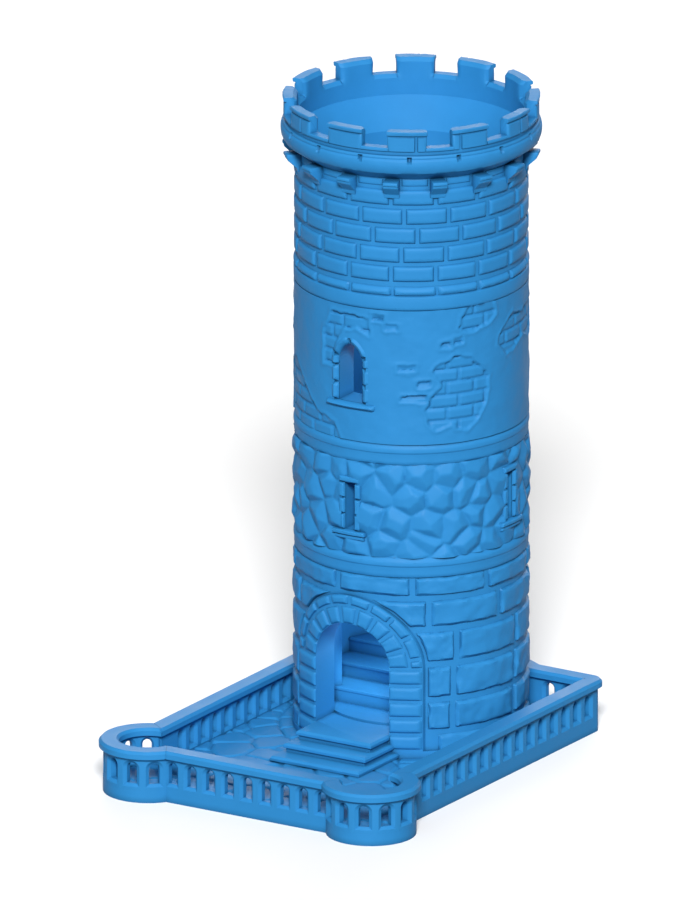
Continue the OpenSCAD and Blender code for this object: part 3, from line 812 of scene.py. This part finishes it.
def fit_bastion(side, side_x, join_x, front, join_y):
    """Radius of a bastion: its circle touches the tray's side limit and passes through the
    joint with the front wall and the joint with the side wall."""
    span = np.array([side_x - join_x, join_y - front])
    best = np.linspace(8, 30, 4401)
    cx = side - best
    cy = join_y - np.sqrt(np.maximum(best**2 - (side_x - cx) ** 2, 0))
    miss = np.abs(np.hypot(join_x - cx, front - cy) - best) + (best < span.max() / 3)
    return float(best[np.argmin(miss)])


def straight(x, y, dx, dy):
    """Run along a line: s along it, d out to its right, z up."""
    return lambda s, d, z: np.stack([x + s * dx + d * dy, y + s * dy - d * dx, z + 0 * s], -1)


def round_run(x, y, r):
    """Run round a circle: s is arc length from the front, d out from the radius, z up."""
    def place(s, d, z):
        return cylinder(r + d, np.degrees(s / r), z) + [x, y, 0]
    return place


def corner_run(inner, centre, r):
    """Run round an outer corner: s is a bearing, d goes from the sharp inner corner to the
    rounded outer one and on past it."""
    def place(s, d, z):
        out = cylinder(r + np.maximum(d - TRAY_WALL_T / 2, 0), s, z) + [*centre, 0]
        share = np.clip((d + TRAY_WALL_T / 2) / TRAY_WALL_T, 0, 1)[..., None]
        foot = np.stack([inner[0] + 0 * s, inner[1] + 0 * s, z + 0 * s], -1)
        return foot * (1 - share) + out * share
    return place


def arch_bay(run, centre, pitch):
    """One bay of the balustrade, a closed ring round its arch: the bay's outline in front, the
    arch's outline at a bevel, through the opening and the same behind."""
    z0, z1, bevel = FLOOR_Z, RAIL_Z, 1.0
    sill, spring = z0 + 2.2, z0 + 9.6 - ARCH_HALF
    waist = (sill + spring) / 2
    angles = np.radians(np.arange(180, -1, -15.0))

    def outline(grow):
        h = ARCH_HALF + grow
        x = np.concatenate([[-h, -h], h * np.cos(angles), [h, h], [h / 2, 0, -h / 2]])
        z = np.concatenate([[sill - grow, waist], spring + h * np.sin(angles),
                            [waist, sill - grow], np.full(3, sill - grow)])
        return x, z
    w = pitch / 2
    side_z = np.linspace(spring, z1, 4)[:3]
    frame_x = np.concatenate([np.full(5, -w), np.linspace(-w, w, 7), np.full(5, w),
                              [w / 2, 0, -w / 2]])
    frame_z = np.concatenate([[z0, waist], side_z, np.full(7, z1), side_z[::-1], [waist, z0],
                              np.full(3, z0)])
    bay, wide, thin = (frame_x, frame_z), outline(bevel), outline(0)
    d = TRAY_WALL_T / 2
    points = np.stack([run(centre + x, np.full(len(x), depth), z) for (x, z), depth in (
        (bay, d), (wide, d), (thin, d - bevel), (thin, bevel - d), (wide, -d), (bay, -d))], 1)
    return points.reshape(-1, 3), [grid_faces(len(frame_x), 6, True, True)]


def swept(run, section, start, end, steps=1):
    """Solid of a section of (d, z) along a run; start and end give s at the inner and outer
    face, so that it meets its neighbour on a slant, where a slightly smaller plug goes on into
    it and closes the joint."""
    d, z = section[:, 0], section[:, 1]
    share = (d + TRAY_WALL_T / 2) / TRAY_WALL_T
    s0 = start[0] + (start[1] - start[0]) * share
    s1 = np.maximum(end[0] + (end[1] - end[0]) * share, s0)
    plug, smaller = 0.5, 0.06
    s = np.concatenate([[s0 - plug, s0],
                        s0 + (s1 - s0) * np.linspace(0, 1, steps + 1)[:, None],
                        [s1, s1 + plug]])
    inset = np.zeros((len(s), 1))
    inset[[0, 1, -2, -1]] = smaller
    middle = (z.min() + z.max()) / 2
    return tube(run(s, d - np.sign(d) * inset, z - np.sign(z - middle) * inset))


def tray_edge():
    """Runs of the tray's right half and its front: name, run, start, end, places of its arches,
    their pitch and its steps. Starts and ends are where the walls' faces cross."""
    g, t = plan(), TRAY_WALL_T
    bx, by, r_out = g.bastion_x, g.bastion_y, g.bastion_r
    r_in, r_mid = r_out - t, r_out - t / 2

    def meet(level, r):
        return math.sqrt(r**2 - level**2)
    front_in = bx - meet(by - g.front - t, r_in)
    side_in = by + meet(g.side - t - bx, r_in)
    bastion_0 = [-math.acos((by - g.front - w) / r) for w, r in ((t, r_in), (0, r_out))]
    bastion_1 = [math.pi - math.asin((g.side - w - bx) / r) for w, r in ((t, r_in), (0, r_out))]
    ax_out, ax_in = meet(g.rear, g.apse), meet(g.rear - t, g.apse - t)
    apse_mid = g.apse - t / 2
    apse_0 = [math.atan2(ax_in, -(g.rear - t)), math.atan2(ax_out, -g.rear)]
    first_arch = math.radians(math.degrees(bastion_0[1]) + 15)
    step = math.radians(BASTION_STEP)
    corner_in = (g.side - t, g.rear - t)
    corner_at = (g.side - TRAY_CORNER_R, g.rear - TRAY_CORNER_R)
    return [
        ("front", straight(0, g.front + t / 2, 1, 0), (-front_in, -g.join_x),
         (front_in, g.join_x), ARCH_PITCH * (np.arange(9) - 4), ARCH_PITCH, 1),
        ("bastion", round_run(bx, by, r_mid), [a * r_mid for a in bastion_0],
         [a * r_mid for a in bastion_1], (first_arch + step * np.arange(7)) * r_mid,
         step * r_mid, 48),
        ("side", straight(g.side - t / 2, 0, 0, 1), (side_in, g.join_y),
         (g.rear - t, g.rear - TRAY_CORNER_R),
         g.rear - t - 4.5 - ARCH_PITCH * np.arange(15)[::-1], ARCH_PITCH, 1),
        ("corner", corner_run(corner_in, corner_at, TRAY_CORNER_R), (91, 91), (179, 179), None,
         0, 8),
        ("rear", straight(0, g.rear - t / 2, -1, 0), (t - g.side, TRAY_CORNER_R - g.side),
         (-ax_in, -ax_out), ARCH_PITCH * np.arange(2) - (g.side - t - ARCH_PITCH), ARCH_PITCH, 1),
        ("apse", round_run(0, 0, apse_mid), [a * apse_mid for a in apse_0],
         [(2 * math.pi - a) * apse_mid for a in apse_0],
         (math.pi + (np.arange(7) - 3) * ARCH_PITCH / apse_mid) * apse_mid, ARCH_PITCH, 48),
    ]


def both_sides(made, name):
    """The pieces of a run, with their mirror images unless the run crosses the middle."""
    return made if name in ("front", "apse") else made + [mirrored(piece) for piece in made]


def balustrade():
    """Low arcaded wall round the tray: closed bays side by side, and plain lengths where a run
    meets its neighbour; the right half is mirrored to the left."""
    half = TRAY_WALL_T / 2
    plain = np.array([(-half, FLOOR_Z), (-half, RAIL_Z), (half, RAIL_Z), (half, FLOOR_Z)])
    solids = []
    for name, run, start, end, centres, pitch, steps in tray_edge():
        if centres is None:
            made = [swept(run, plain, start, end, steps)]
        else:
            centres = np.sort(centres)
            made = [arch_bay(run, centre, pitch) for centre in centres]
            first, last = centres[0] - pitch / 2, centres[-1] + pitch / 2
            if min(start) < first - 0.05:
                made.append(swept(run, plain, np.minimum(start, first), (first, first), 2))
            if max(end) > last + 0.05:
                made.append(swept(run, plain, (last, last), np.maximum(end, last), 2))
        solids += both_sides(made, name)
    return join(*solids)


def rails():
    """Handrail on the balustrade: a flat top, bevelled edges, upright sides and an undercut."""
    lip = high("right_rail", 0) - high("right_balustrade", 0)
    z0, z1 = RAIL_Z, RAIL_TOP
    half = TRAY_WALL_T / 2
    section = np.array([
        (-half, z0), (-half - lip, z0 + 0.95), (-half - lip, z1 - 0.95), (-half - lip + 0.9, z1),
        (half + lip - 0.9, z1), (half + lip, z1 - 0.95), (half + lip, z0 + 0.95), (half, z0)])
    solids = []
    for name, run, start, end, _centres, _pitch, steps in tray_edge():
        solids += both_sides([swept(run, section, start, end, steps)], name)
    return join(*solids)


def nearest_two(x, y, sx, sy):
    """For each point the nearest seed and the distances to it and to the second nearest."""
    far = np.hypot(x[:, None] - sx, y[:, None] - sy)
    order = np.argpartition(far, 1, axis=1)[:, :2]
    near = np.take_along_axis(far, order, 1)
    own = np.where(near[:, 0] <= near[:, 1], order[:, 0], order[:, 1])
    return own, near.min(1), near.max(1)


def tray_paving(p):
    """Flags laid on the tray's floor: uneven cells about scattered seeds, parted by a groove
    where the two nearest seeds are equally far, inside a ring of pavers round the tower."""
    g = plan()
    pitch, inset = 0.64, 1.6
    reach, front = g.bastion_x + g.bastion_r, g.bastion_y - g.bastion_r
    x, y = np.meshgrid(np.arange(-g.bastion_x - g.bastion_r, reach, pitch),
                       np.arange(front, g.apse, pitch))
    r = np.hypot(x, y)
    inside = ((np.abs(x) < g.side - inset) & (y > g.front + inset)
              & (y < g.rear - inset)) | (r < g.apse - inset)
    inside |= np.hypot(np.abs(x) - g.bastion_x, y - g.bastion_y) < g.bastion_r - inset
    inside &= r > WALL_R - 1.5
    rng = np.random.default_rng(201)
    size = p.mm("flag_size")
    gx, gy = np.meshgrid(np.arange(-6, 7), np.arange(-10, 5))
    sx = ((gx + 0.5 * (gy % 2)) * size + rng.uniform(-0.45, 0.45, gx.shape) * size).ravel()
    sy = (gy * size * 0.9 + rng.uniform(-0.4, 0.4, gx.shape) * size).ravel()
    wx = (x + 0.35 * rough(x, y, 6, 203, None, 2)).ravel()
    wy = (y + 0.35 * rough(x + 70, y, 6, 205, None, 2)).ravel()
    own, first, second = nearest_two(wx, wy, sx, sy)
    edge = (second - first).reshape(x.shape) * 0.5
    tilt = rng.uniform(-0.012, 0.012, (2, len(sx)))
    lean = ((wx - sx[own]) * tilt[0, own] + (wy - sy[own]) * tilt[1, own]).reshape(x.shape)
    ring_r, paver = 45.3, 15.0
    along = np.mod(np.degrees(np.arctan2(x, -y)) + 4, paver)
    ring_edge = np.minimum(np.minimum(along, paver - along) * math.radians(1) * r, ring_r - r)
    edge = np.where(r < ring_r, ring_edge, np.minimum(edge, r - ring_r))
    height = p.mm("flag_proud") * ease((edge - 0.15) / 0.6) + lean * (r > ring_r)
    height = height + 0.03 * rough(x, y, 3.0, 207, None, 2)
    top = np.stack([x, y, FLOOR_Z + 0.03 + np.maximum(height, 0)], -1)
    under = np.stack([x, y, np.full(x.shape, FLOOR_Z - 0.4)], -1)
    keep = inside[:-1, :-1] & inside[1:, :-1] & inside[:-1, 1:] & inside[1:, 1:]
    return shell(top, under, keep)


def outer_steps():
    """Three slabs before the door: stacked outlines, drawn in for the riser, out for the nosing
    and in again for the bevelled tread; each outline's back follows the tower."""
    solids = []
    for name in ("lower_step", "middle_step", "upper_step"):
        half, nose, z0, z1 = high(name, 0), low(name, 1), low(name, 2), high(name, 2)
        levels = [(z0, 0.75), (z1 - 1.95, 0.75), (z1 - 1.75, 0.1), (z1 - 1.6, 0),
                  (z1 - 0.75, 0), (z1 - 0.1, 0.65), (z1, 0.85)]
        loops = []
        for z, inset in levels:
            w = half - inset
            x = np.concatenate([[-w, w], np.linspace(w, -w, 11)])
            back = -np.sqrt((SURROUND_R - 0.15) ** 2 - x[2:] ** 2)
            y = np.concatenate([[nose + inset, nose + inset], back])
            loops.append(np.stack([x, y, np.full(len(x), z)], -1))
        solids.append(tube(np.stack(loops)))
    return join(*solids)


def stair_nosings():
    """Rounded nosing along the front edge of each stair inside the tower."""
    base, top = low("inner_stair", 2), high("inner_stair", 2)
    rise = (top - base) / STAIR_STEPS
    solids = []
    for k in range(STAIR_STEPS):
        y, z = STAIR_NOSE_Y + STAIR_TREAD * k, base + rise * (k + 1)
        reach = math.sqrt((INNER_R - 0.1) ** 2 - max(abs(y - 0.4), abs(y + 1.2)) ** 2)
        loop = rounded([(y - 0.35, z - 0.95), (y - 0.35, z + 0.12), (y + 1.0, z + 0.12),
                        (y + 1.0, z - 0.95)], [0.2, 0.5, 0, 0])
        solids.append(tube(np.stack([np.insert(loop, 0, x, axis=1) for x in (reach, -reach)])))
    return join(*solids)


# Materials ---------------------------------------------------------------------------------

def linear(shade):
    """An sRGB hex value as linear light: each of its three shares c becomes c / 12.92 when
    small and ((c + 0.055) / 1.055)^2.4 when not."""
    c = np.array([shade >> 16 & 255, shade >> 8 & 255, shade & 255]) / 255
    return tuple(np.where(c <= 0.04045, c / 12.92, ((c + 0.055) / 1.055) ** 2.4).tolist())


def node(tree, kind, settings=(), **links):
    """Adds a shader node, sets its properties and sockets, and links its inputs; an input's
    name is written with _ for a space."""
    made = tree.nodes.new(kind)
    for key, value in dict(settings).items():
        if hasattr(made, key):
            setattr(made, key, value)
        else:
            made.inputs[key].default_value = value
    for key, value in links.items():
        socket = made.inputs[key.replace("_", " ")]
        if isinstance(value, bpy.types.NodeSocket):
            tree.links.new(value, socket)
        else:
            socket.default_value = value
    return made


def new_material(name):
    """An empty node material, its tree and its piece's Object coordinates."""
    material = bpy.data.materials.new(name)
    material.use_nodes = True
    tree = material.node_tree
    tree.nodes.clear()
    return material, tree, node(tree, "ShaderNodeTexCoord").outputs["Object"]


def two_tones(tree, pattern, dark, light, between=(0, 1)):
    """A colour that goes from dark to light as a pattern goes between two values."""
    ramp = node(tree, "ShaderNodeValToRGB", Fac=pattern)
    for element, colour, position in zip(ramp.color_ramp.elements, (dark, light), between):
        element.position, element.color = position, (*colour, 1)
    return ramp.outputs["Color"]


def printed_plastic(name, p, shade):
    """Matt PLA from a filament printer. To the eye it is one colour, with shade painted into its
    joints and corners from ambient occlusion: faint patches of gloss, a barely darker mottle, print
    layers as a soft grain."""
    material, tree, place = new_material(name)
    base = np.array(p.plastic_colour) * shade
    mottle = node(tree, "ShaderNodeTexNoise",
                  {"Scale": 1 / (11 * MM), "Detail": 3.0, "Roughness": 0.6},
                  Vector=place).outputs["Fac"]
    tone = two_tones(tree, mottle, base * 0.965, np.minimum(base * 1.03, 1), (0.3, 0.7))
    # Painted shade: ambient occlusion within 3.4 mm is mapped to a darkening factor and multiplied
    # into the colour, darkening joints, corners and recesses
    occlusion_shade = node(tree, "ShaderNodeAmbientOcclusion", {"Distance": 3.4 * MM, "samples": 8},
                   Color=(1, 1, 1, 1)).outputs["AO"]
    depth = node(tree, "ShaderNodeMapRange",
                 {"From Min": 0.25, "From Max": 0.85, "To Min": 1 - p.joint_shade, "To Max": 1.0},
                 Value=occlusion_shade).outputs["Result"]
    tone_with_painted_shade = node(tree, "ShaderNodeMixRGB", {"blend_type": "MULTIPLY"}, Fac=1.0, Color1=tone,
                Color2=depth).outputs["Color"]
    gloss = node(tree, "ShaderNodeMapRange",
                 {"From Min": 0.3, "From Max": 0.7, "To Min": p.plastic_roughness - 0.05,
                  "To Max": p.plastic_roughness + 0.06}, Value=mottle).outputs["Result"]
    # Bands lie 2 pi / (20 scale) apart. One printed layer is too fine to show, so a band is
    # drawn at every 2 pi layers
    layers = node(tree, "ShaderNodeTexWave",
                  {"wave_type": "BANDS", "bands_direction": "Z", "Scale": 1 / (p.layer_height * 20),
                   "Distortion": 0.6, "Detail": 1.0, "Detail Scale": 0.4},
                  Vector=place).outputs["Fac"]
    grain = node(tree, "ShaderNodeTexNoise", {"Scale": 1 / (1.1 * MM), "Detail": 2.0},
                 Vector=place).outputs["Fac"]
    lines = node(tree, "ShaderNodeBump", {"Strength": 0.10, "Distance": 0.04 * MM}, Height=layers)
    bump = node(tree, "ShaderNodeBump", {"Strength": 0.15, "Distance": 0.05 * MM}, Height=grain,
                Normal=lines.outputs["Normal"])
    skin = node(tree, "ShaderNodeBsdfPrincipled", {"IOR": 1.46, "Specular IOR Level": 0.18},
                Base_Color=tone_with_painted_shade, Roughness=gloss, Normal=bump.outputs["Normal"])
    node(tree, "ShaderNodeOutputMaterial", Surface=skin.outputs["BSDF"])
    return material


# Name and shade of each slot's plastic
PLASTICS = {"wall_plastic": ("Blue PLA of the walls", 1.0),
            "trim_plastic": ("Blue PLA of the trim", 1.01),
            "tray_plastic": ("Blue PLA of the tray", 0.99)}


def plastic(slot, p):
    """The printed plastic of a slot, made once."""
    name, shade = PLASTICS[slot]
    return bpy.data.materials.get(name) or printed_plastic(name, p, shade)


def seamless_paper(p):
    """Pale backdrop paper. To the eye it is an even off-white with the faintest mottle."""
    material, tree, place = new_material("Studio paper")
    mottle = node(tree, "ShaderNodeTexNoise", {"Scale": 12.0, "Detail": 2.0},
                  Vector=place).outputs["Fac"]
    base = np.array(p.floor_colour)
    skin = node(tree, "ShaderNodeBsdfPrincipled", {"Roughness": 0.9, "Specular IOR Level": 0.1},
                Base_Color=two_tones(tree, mottle, base * 0.985, base))
    node(tree, "ShaderNodeOutputMaterial", Surface=skin.outputs["BSDF"])
    return material


# Settings and operators --------------------------------------------------------------------

def length(name, size, least, most, description):
    """A length property whose default and limits are given in millimetres."""
    return FloatProperty(name=name, default=size * MM, min=least * MM, max=most * MM,
                         precision=5, unit="LENGTH", description=description)


def factor(name, default, least, description):
    """A property between its least value and 1."""
    return FloatProperty(name=name, default=default, min=least, max=1, subtype="FACTOR",
                         description=description)


def strength(name, default, description):
    """Strength of a light that comes from far away."""
    return FloatProperty(name=name, default=default, min=0, max=20, description=description)


def colour(name, shade, description):
    """A colour property whose default is an sRGB hex value."""
    return FloatVectorProperty(name=name, subtype="COLOR", size=3, min=0, max=1,
                               default=linear(shade), description=description)


class KeepSettings(bpy.types.PropertyGroup):
    """Sizes and colours of the keep's looks."""
    ashlar_count: IntProperty(name="Blocks in a course", default=9, min=6, max=16,
                              description="Blocks of the ground storey in one full course")
    ashlar_joint: length("Block joint", 2.1, 0.5, 3, "Width of the joint between blocks' feet")
    ashlar_proud: length("Block depth", 1.2, 0.3, 1.6, "How far the blocks stand out of the wall")
    ashlar_bevel: length("Block bevel", 1.1, 0.3, 2, "Width of the blocks' rounded edges")
    door_stone_proud: length("Door stone depth", 0.85, 0.2, 1.2,
                             "How far the doorway's stones stand out")
    door_ring_w: length("Inner door ring", 6.4, 4, 8, "Width of the inner ring of door stones")
    rubble_size: length("Rubble size", 10.2, 7, 18, "Spacing of the rubble's stones")
    rubble_proud: length("Rubble depth", 1.75, 0.5, 2, "How far the rubble's stones stand out")
    plaster_proud: length("Plaster depth", 1.0, 0.4, 1.2, "How far the plaster's face stands out")
    plaster_lip: length("Plaster lip", 0.24, 0, 0.5, "Height of the lip round fallen patches")
    brick_pitch: length("Brick pitch", 6.87, 5, 6.9, "Height of one course of the brick storey")
    brick_joint: length("Brick joint", 1.35, 0.3, 2, "Width of the joints of the brick storey")
    brick_proud: length("Brick depth", 0.95, 0.2, 1.2, "How far the bricks stand out of the wall")
    corbel_width: length("Corbel width", 5.2, 3, 8, "Width of a corbel")
    merlon_angle: FloatProperty(name="Merlon angle", default=math.radians(18),
                                min=math.radians(14), max=math.radians(20), unit="ROTATION",
                                description="Angle that one merlon spans")
    flag_size: length("Flag size", 13.2, 10, 20, "Spacing of the tray's paving flags")
    flag_proud: length("Flag height", 0.8, 0.2, 1, "Height of the flags above the tray's floor")
    layer_height: length("Layer height", 0.25, 0.05, 1, "Height of one printed layer")
    plastic_roughness: factor("Plastic roughness", 0.58, 0.2, "Roughness of the plastic")
    # Joint shade sets the strength of the shade painted into joints and corners by the plastic's
    # ambient occlusion
    joint_shade: factor("Joint shade", 0.6, 0, "How much darker the plastic looks in its joints")
    plastic_colour: colour("Plastic", 0x2678B2, "Colour of the printed plastic")
    floor_colour: colour("Floor", 0xF2F2F2, "Colour of the studio floor")
    key_power: strength("Key light", 4.7, "Strength of the wide, soft key light")
    fill_power: strength("Fill light", 0.3, "Strength of the low light that reaches the doorway")
    rim_power: strength("Rim light", 1.9, "Strength of the low light from behind")
    inside_power: FloatProperty(name="Inside light", default=0.03, min=0, max=1, unit="POWER",
                                description="Power of the soft lights inside the hollow tower")
    world_power: strength("Sky light", 0.25, "Strength of the even light from all round")

    def mm(self, name):
        """A length of these settings in millimetres, the unit of the surfaces."""
        return round(getattr(self, name) / MM, 4)


class KeepOperator:
    """What every operator of the keep shares."""
    bl_options = {"REGISTER", "UNDO"}


class KEEP_OT_ground(KeepOperator, bpy.types.Operator):
    """Builds the ground storey's blocks, the doorway's stones and the steps."""
    bl_idname = "keep.ground"
    bl_label = "Ground storey"

    def execute(self, context):
        p = context.scene.keep
        make(p, "ashlar_stones", ashlar_stones(p))
        make(p, "doorway_stones", doorway_stones(p), "trim_plastic")
        make(p, "outer_steps", outer_steps(), "trim_plastic",
             ("lower_step", "middle_step", "upper_step"))
        make(p, "stair_nosings", stair_nosings(), "tray_plastic")
        return {"FINISHED"}


class KEEP_OT_bands(KeepOperator, bpy.types.Operator):
    """Builds the three string courses."""
    bl_idname = "keep.bands"
    bl_label = "String courses"

    def execute(self, context):
        make(context.scene.keep, "string_courses", string_courses(), "trim_plastic",
             ("lower_band", "middle_band", "upper_band"))
        return {"FINISHED"}


class KEEP_OT_rubble(KeepOperator, bpy.types.Operator):
    """Builds the rubble storey and its slit windows."""
    bl_idname = "keep.rubble"
    bl_label = "Rubble storey"

    def execute(self, context):
        p = context.scene.keep
        make(p, "rubble_stones", rubble_stones(p), crease=60)
        make(p, "slit_stones", slit_stones(), "trim_plastic", ("slit_frames", "slit_sills"))
        return {"FINISHED"}


class KEEP_OT_plaster(KeepOperator, bpy.types.Operator):
    """Builds the plastered storey and its pointed windows."""
    bl_idname = "keep.plaster"
    bl_label = "Plaster storey"

    def execute(self, context):
        p = context.scene.keep
        make(p, "plaster_and_bricks", plaster_and_bricks(p), crease=60)
        make(p, "window_stones", window_stones(), "trim_plastic",
             ("window_surrounds", "window_sills"), crease=45)
        return {"FINISHED"}


class KEEP_OT_crown(KeepOperator, bpy.types.Operator):
    """Builds the brick storey, the corbels, the moulding and the parapet."""
    bl_idname = "keep.crown"
    bl_label = "Bricks and crown"

    def execute(self, context):
        p = context.scene.keep
        make(p, "brick_courses", brick_courses(p), crease=50)
        make(p, "corbel_stones", corbel_stones(p), "trim_plastic", ("corbels",))
        make(p, "crown_moulding", crown_moulding(), "trim_plastic", ("crown_ring",))
        make(p, "parapet_stones", parapet_stones(p), replaced=("parapet_wall", "merlons"))
        return {"FINISHED"}


class KEEP_OT_tray(KeepOperator, bpy.types.Operator):
    """Builds the balustrade, its rails and the paving."""
    bl_idname = "keep.tray"
    bl_label = "Tray"

    def execute(self, context):
        p = context.scene.keep
        make(p, "balustrade", balustrade(), "tray_plastic",
             ("front_balustrade", "left_balustrade", "right_balustrade", "rear_balustrades",
              "rear_apse_wall", "left_bastion_wall", "right_bastion_wall"))
        make(p, "rails", rails(), "trim_plastic",
             ("front_rail", "left_rail", "right_rail", "rear_rail", "left_bastion_rail",
              "right_bastion_rail"))
        make(p, "tray_paving", tray_paving(p), "tray_plastic", crease=60)
        return {"FINISHED"}


class KEEP_OT_core(KeepOperator, bpy.types.Operator):
    """Gives the plain parts that still show the printed plastic of their slot."""
    bl_idname = "keep.core"
    bl_label = "Plain parts"

    def execute(self, context):
        slots = dict.fromkeys(("tower_plinth", "door_threshold", "door_jambs", "door_arch"),
                              "trim_plastic")
        slots.update(dict.fromkeys(("tray_floor", "tower_floor", "inner_stair"), "tray_plastic"))
        for name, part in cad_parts.items():
            part.data.materials.clear()
            part.data.materials.append(
                plastic(slots.get(name, "wall_plastic"), context.scene.keep))
        return {"FINISHED"}


def stand(name, data, place=(0, 0, 0), turn=(0, 0, 0)):
    """Adds an object to the scene at a place in metres and a turn in degrees."""
    thing = bpy.data.objects.new(name, data)
    thing.location, thing.rotation_euler = place, np.radians(turn)
    bpy.context.scene.collection.objects.link(thing)
    return thing


def studio_camera():
    """Camera with parallel projection, turned round the tower and tilted down; its target is
    given along the view's own right and up."""
    turn, rise = math.radians(VIEW_TURN), math.radians(VIEW_RISE)
    right = np.array([math.cos(turn), math.sin(turn), 0])
    back = np.array([math.sin(turn) * math.cos(rise), -math.cos(turn) * math.cos(rise),
                     math.sin(rise)])
    target = (right * VIEW_RIGHT + np.cross(back, right) * VIEW_UP) * MM
    data = bpy.data.cameras.new("camera")
    data.type, data.ortho_scale = "ORTHO", VIEW_WIDTH * MM
    data.clip_start, data.clip_end = 0.05, 20
    return stand("camera", data, target + back * 1.2, (90 - VIEW_RISE, 0, VIEW_TURN))


class KEEP_OT_stage(KeepOperator, bpy.types.Operator):
    """Sets the floor, the soft lights and the camera."""
    bl_idname = "keep.stage"
    bl_label = "Stage"

    def execute(self, context):
        scene, p = context.scene, context.scene.keep
        mesh = bpy.data.meshes.new("floor")
        mesh.from_pydata([(-4, -4, 0), (4, -4, 0), (4, 4, 0), (-4, 4, 0)], [], [(0, 1, 2, 3)])
        mesh.materials.append(seamless_paper(p))
        floor = stand("floor", mesh)
        floor.visible_diffuse = False
        scene.camera = studio_camera()
        # Each sun's strength, how wide it is, how high it stands and its bearing, in degrees
        for name, power, wide, height, bearing in (
                ("key", p.key_power, 14, 35, 32), ("fill", p.fill_power, 30, 12, 8),
                ("rim", p.rim_power, 40, 14, 205)):
            sun = bpy.data.lights.new(name, "SUN")
            sun.energy, sun.angle = power, math.radians(wide)
            stand(name, sun, turn=(90 - height, 0, bearing))
        for name, place, power in (("inside_low", (0, -8, 44), p.inside_power),
                                   ("inside_high", (0, 0, 140), p.inside_power * 0.5)):
            glow = bpy.data.lights.new(name, "POINT")
            glow.energy, glow.shadow_soft_size = power, 12 * MM
            stand(name, glow, np.array(place) * MM)
        scene.world = bpy.data.worlds.new("studio")
        scene.world.use_nodes = True
        sky = scene.world.node_tree.nodes["Background"]
        sky.inputs["Color"].default_value = (1, 1, 1, 1)
        sky.inputs["Strength"].default_value = p.world_power
        scene.view_settings.view_transform = "Standard"
        return {"FINISHED"}


class KEEP_PT_panel(bpy.types.Panel):
    """Buttons for the keep's pieces and fields for their sizes."""
    bl_idname = "KEEP_PT_panel"
    bl_label = "Castle keep"
    bl_space_type = "VIEW_3D"
    bl_region_type = "UI"
    bl_category = "Keep"

    def draw(self, context):
        for name in KeepSettings.__annotations__:
            self.layout.prop(context.scene.keep, name)
        for button in OPERATORS:
            self.layout.operator(button.bl_idname)


OPERATORS = (KEEP_OT_ground, KEEP_OT_bands, KEEP_OT_rubble, KEEP_OT_plaster, KEEP_OT_crown,
             KEEP_OT_tray, KEEP_OT_core, KEEP_OT_stage)
CLASSES = (KeepSettings, *OPERATORS, KEEP_PT_panel)


def register():
    """Registers the settings, the operators and the panel."""
    for cls in CLASSES:
        bpy.utils.register_class(cls)
    bpy.types.Scene.keep = PointerProperty(type=KeepSettings)


def unregister():
    """Takes away what register added."""
    del bpy.types.Scene.keep
    for cls in reversed(CLASSES):
        bpy.utils.unregister_class(cls)


def main():
    """Builds every piece and the stage."""
    register()
    bpy.ops.keep.ground()
    bpy.ops.keep.bands()
    bpy.ops.keep.rubble()
    bpy.ops.keep.plaster()
    bpy.ops.keep.crown()
    bpy.ops.keep.tray()
    bpy.ops.keep.core()
    bpy.ops.keep.stage()


if __name__ == "__main__":
    main()
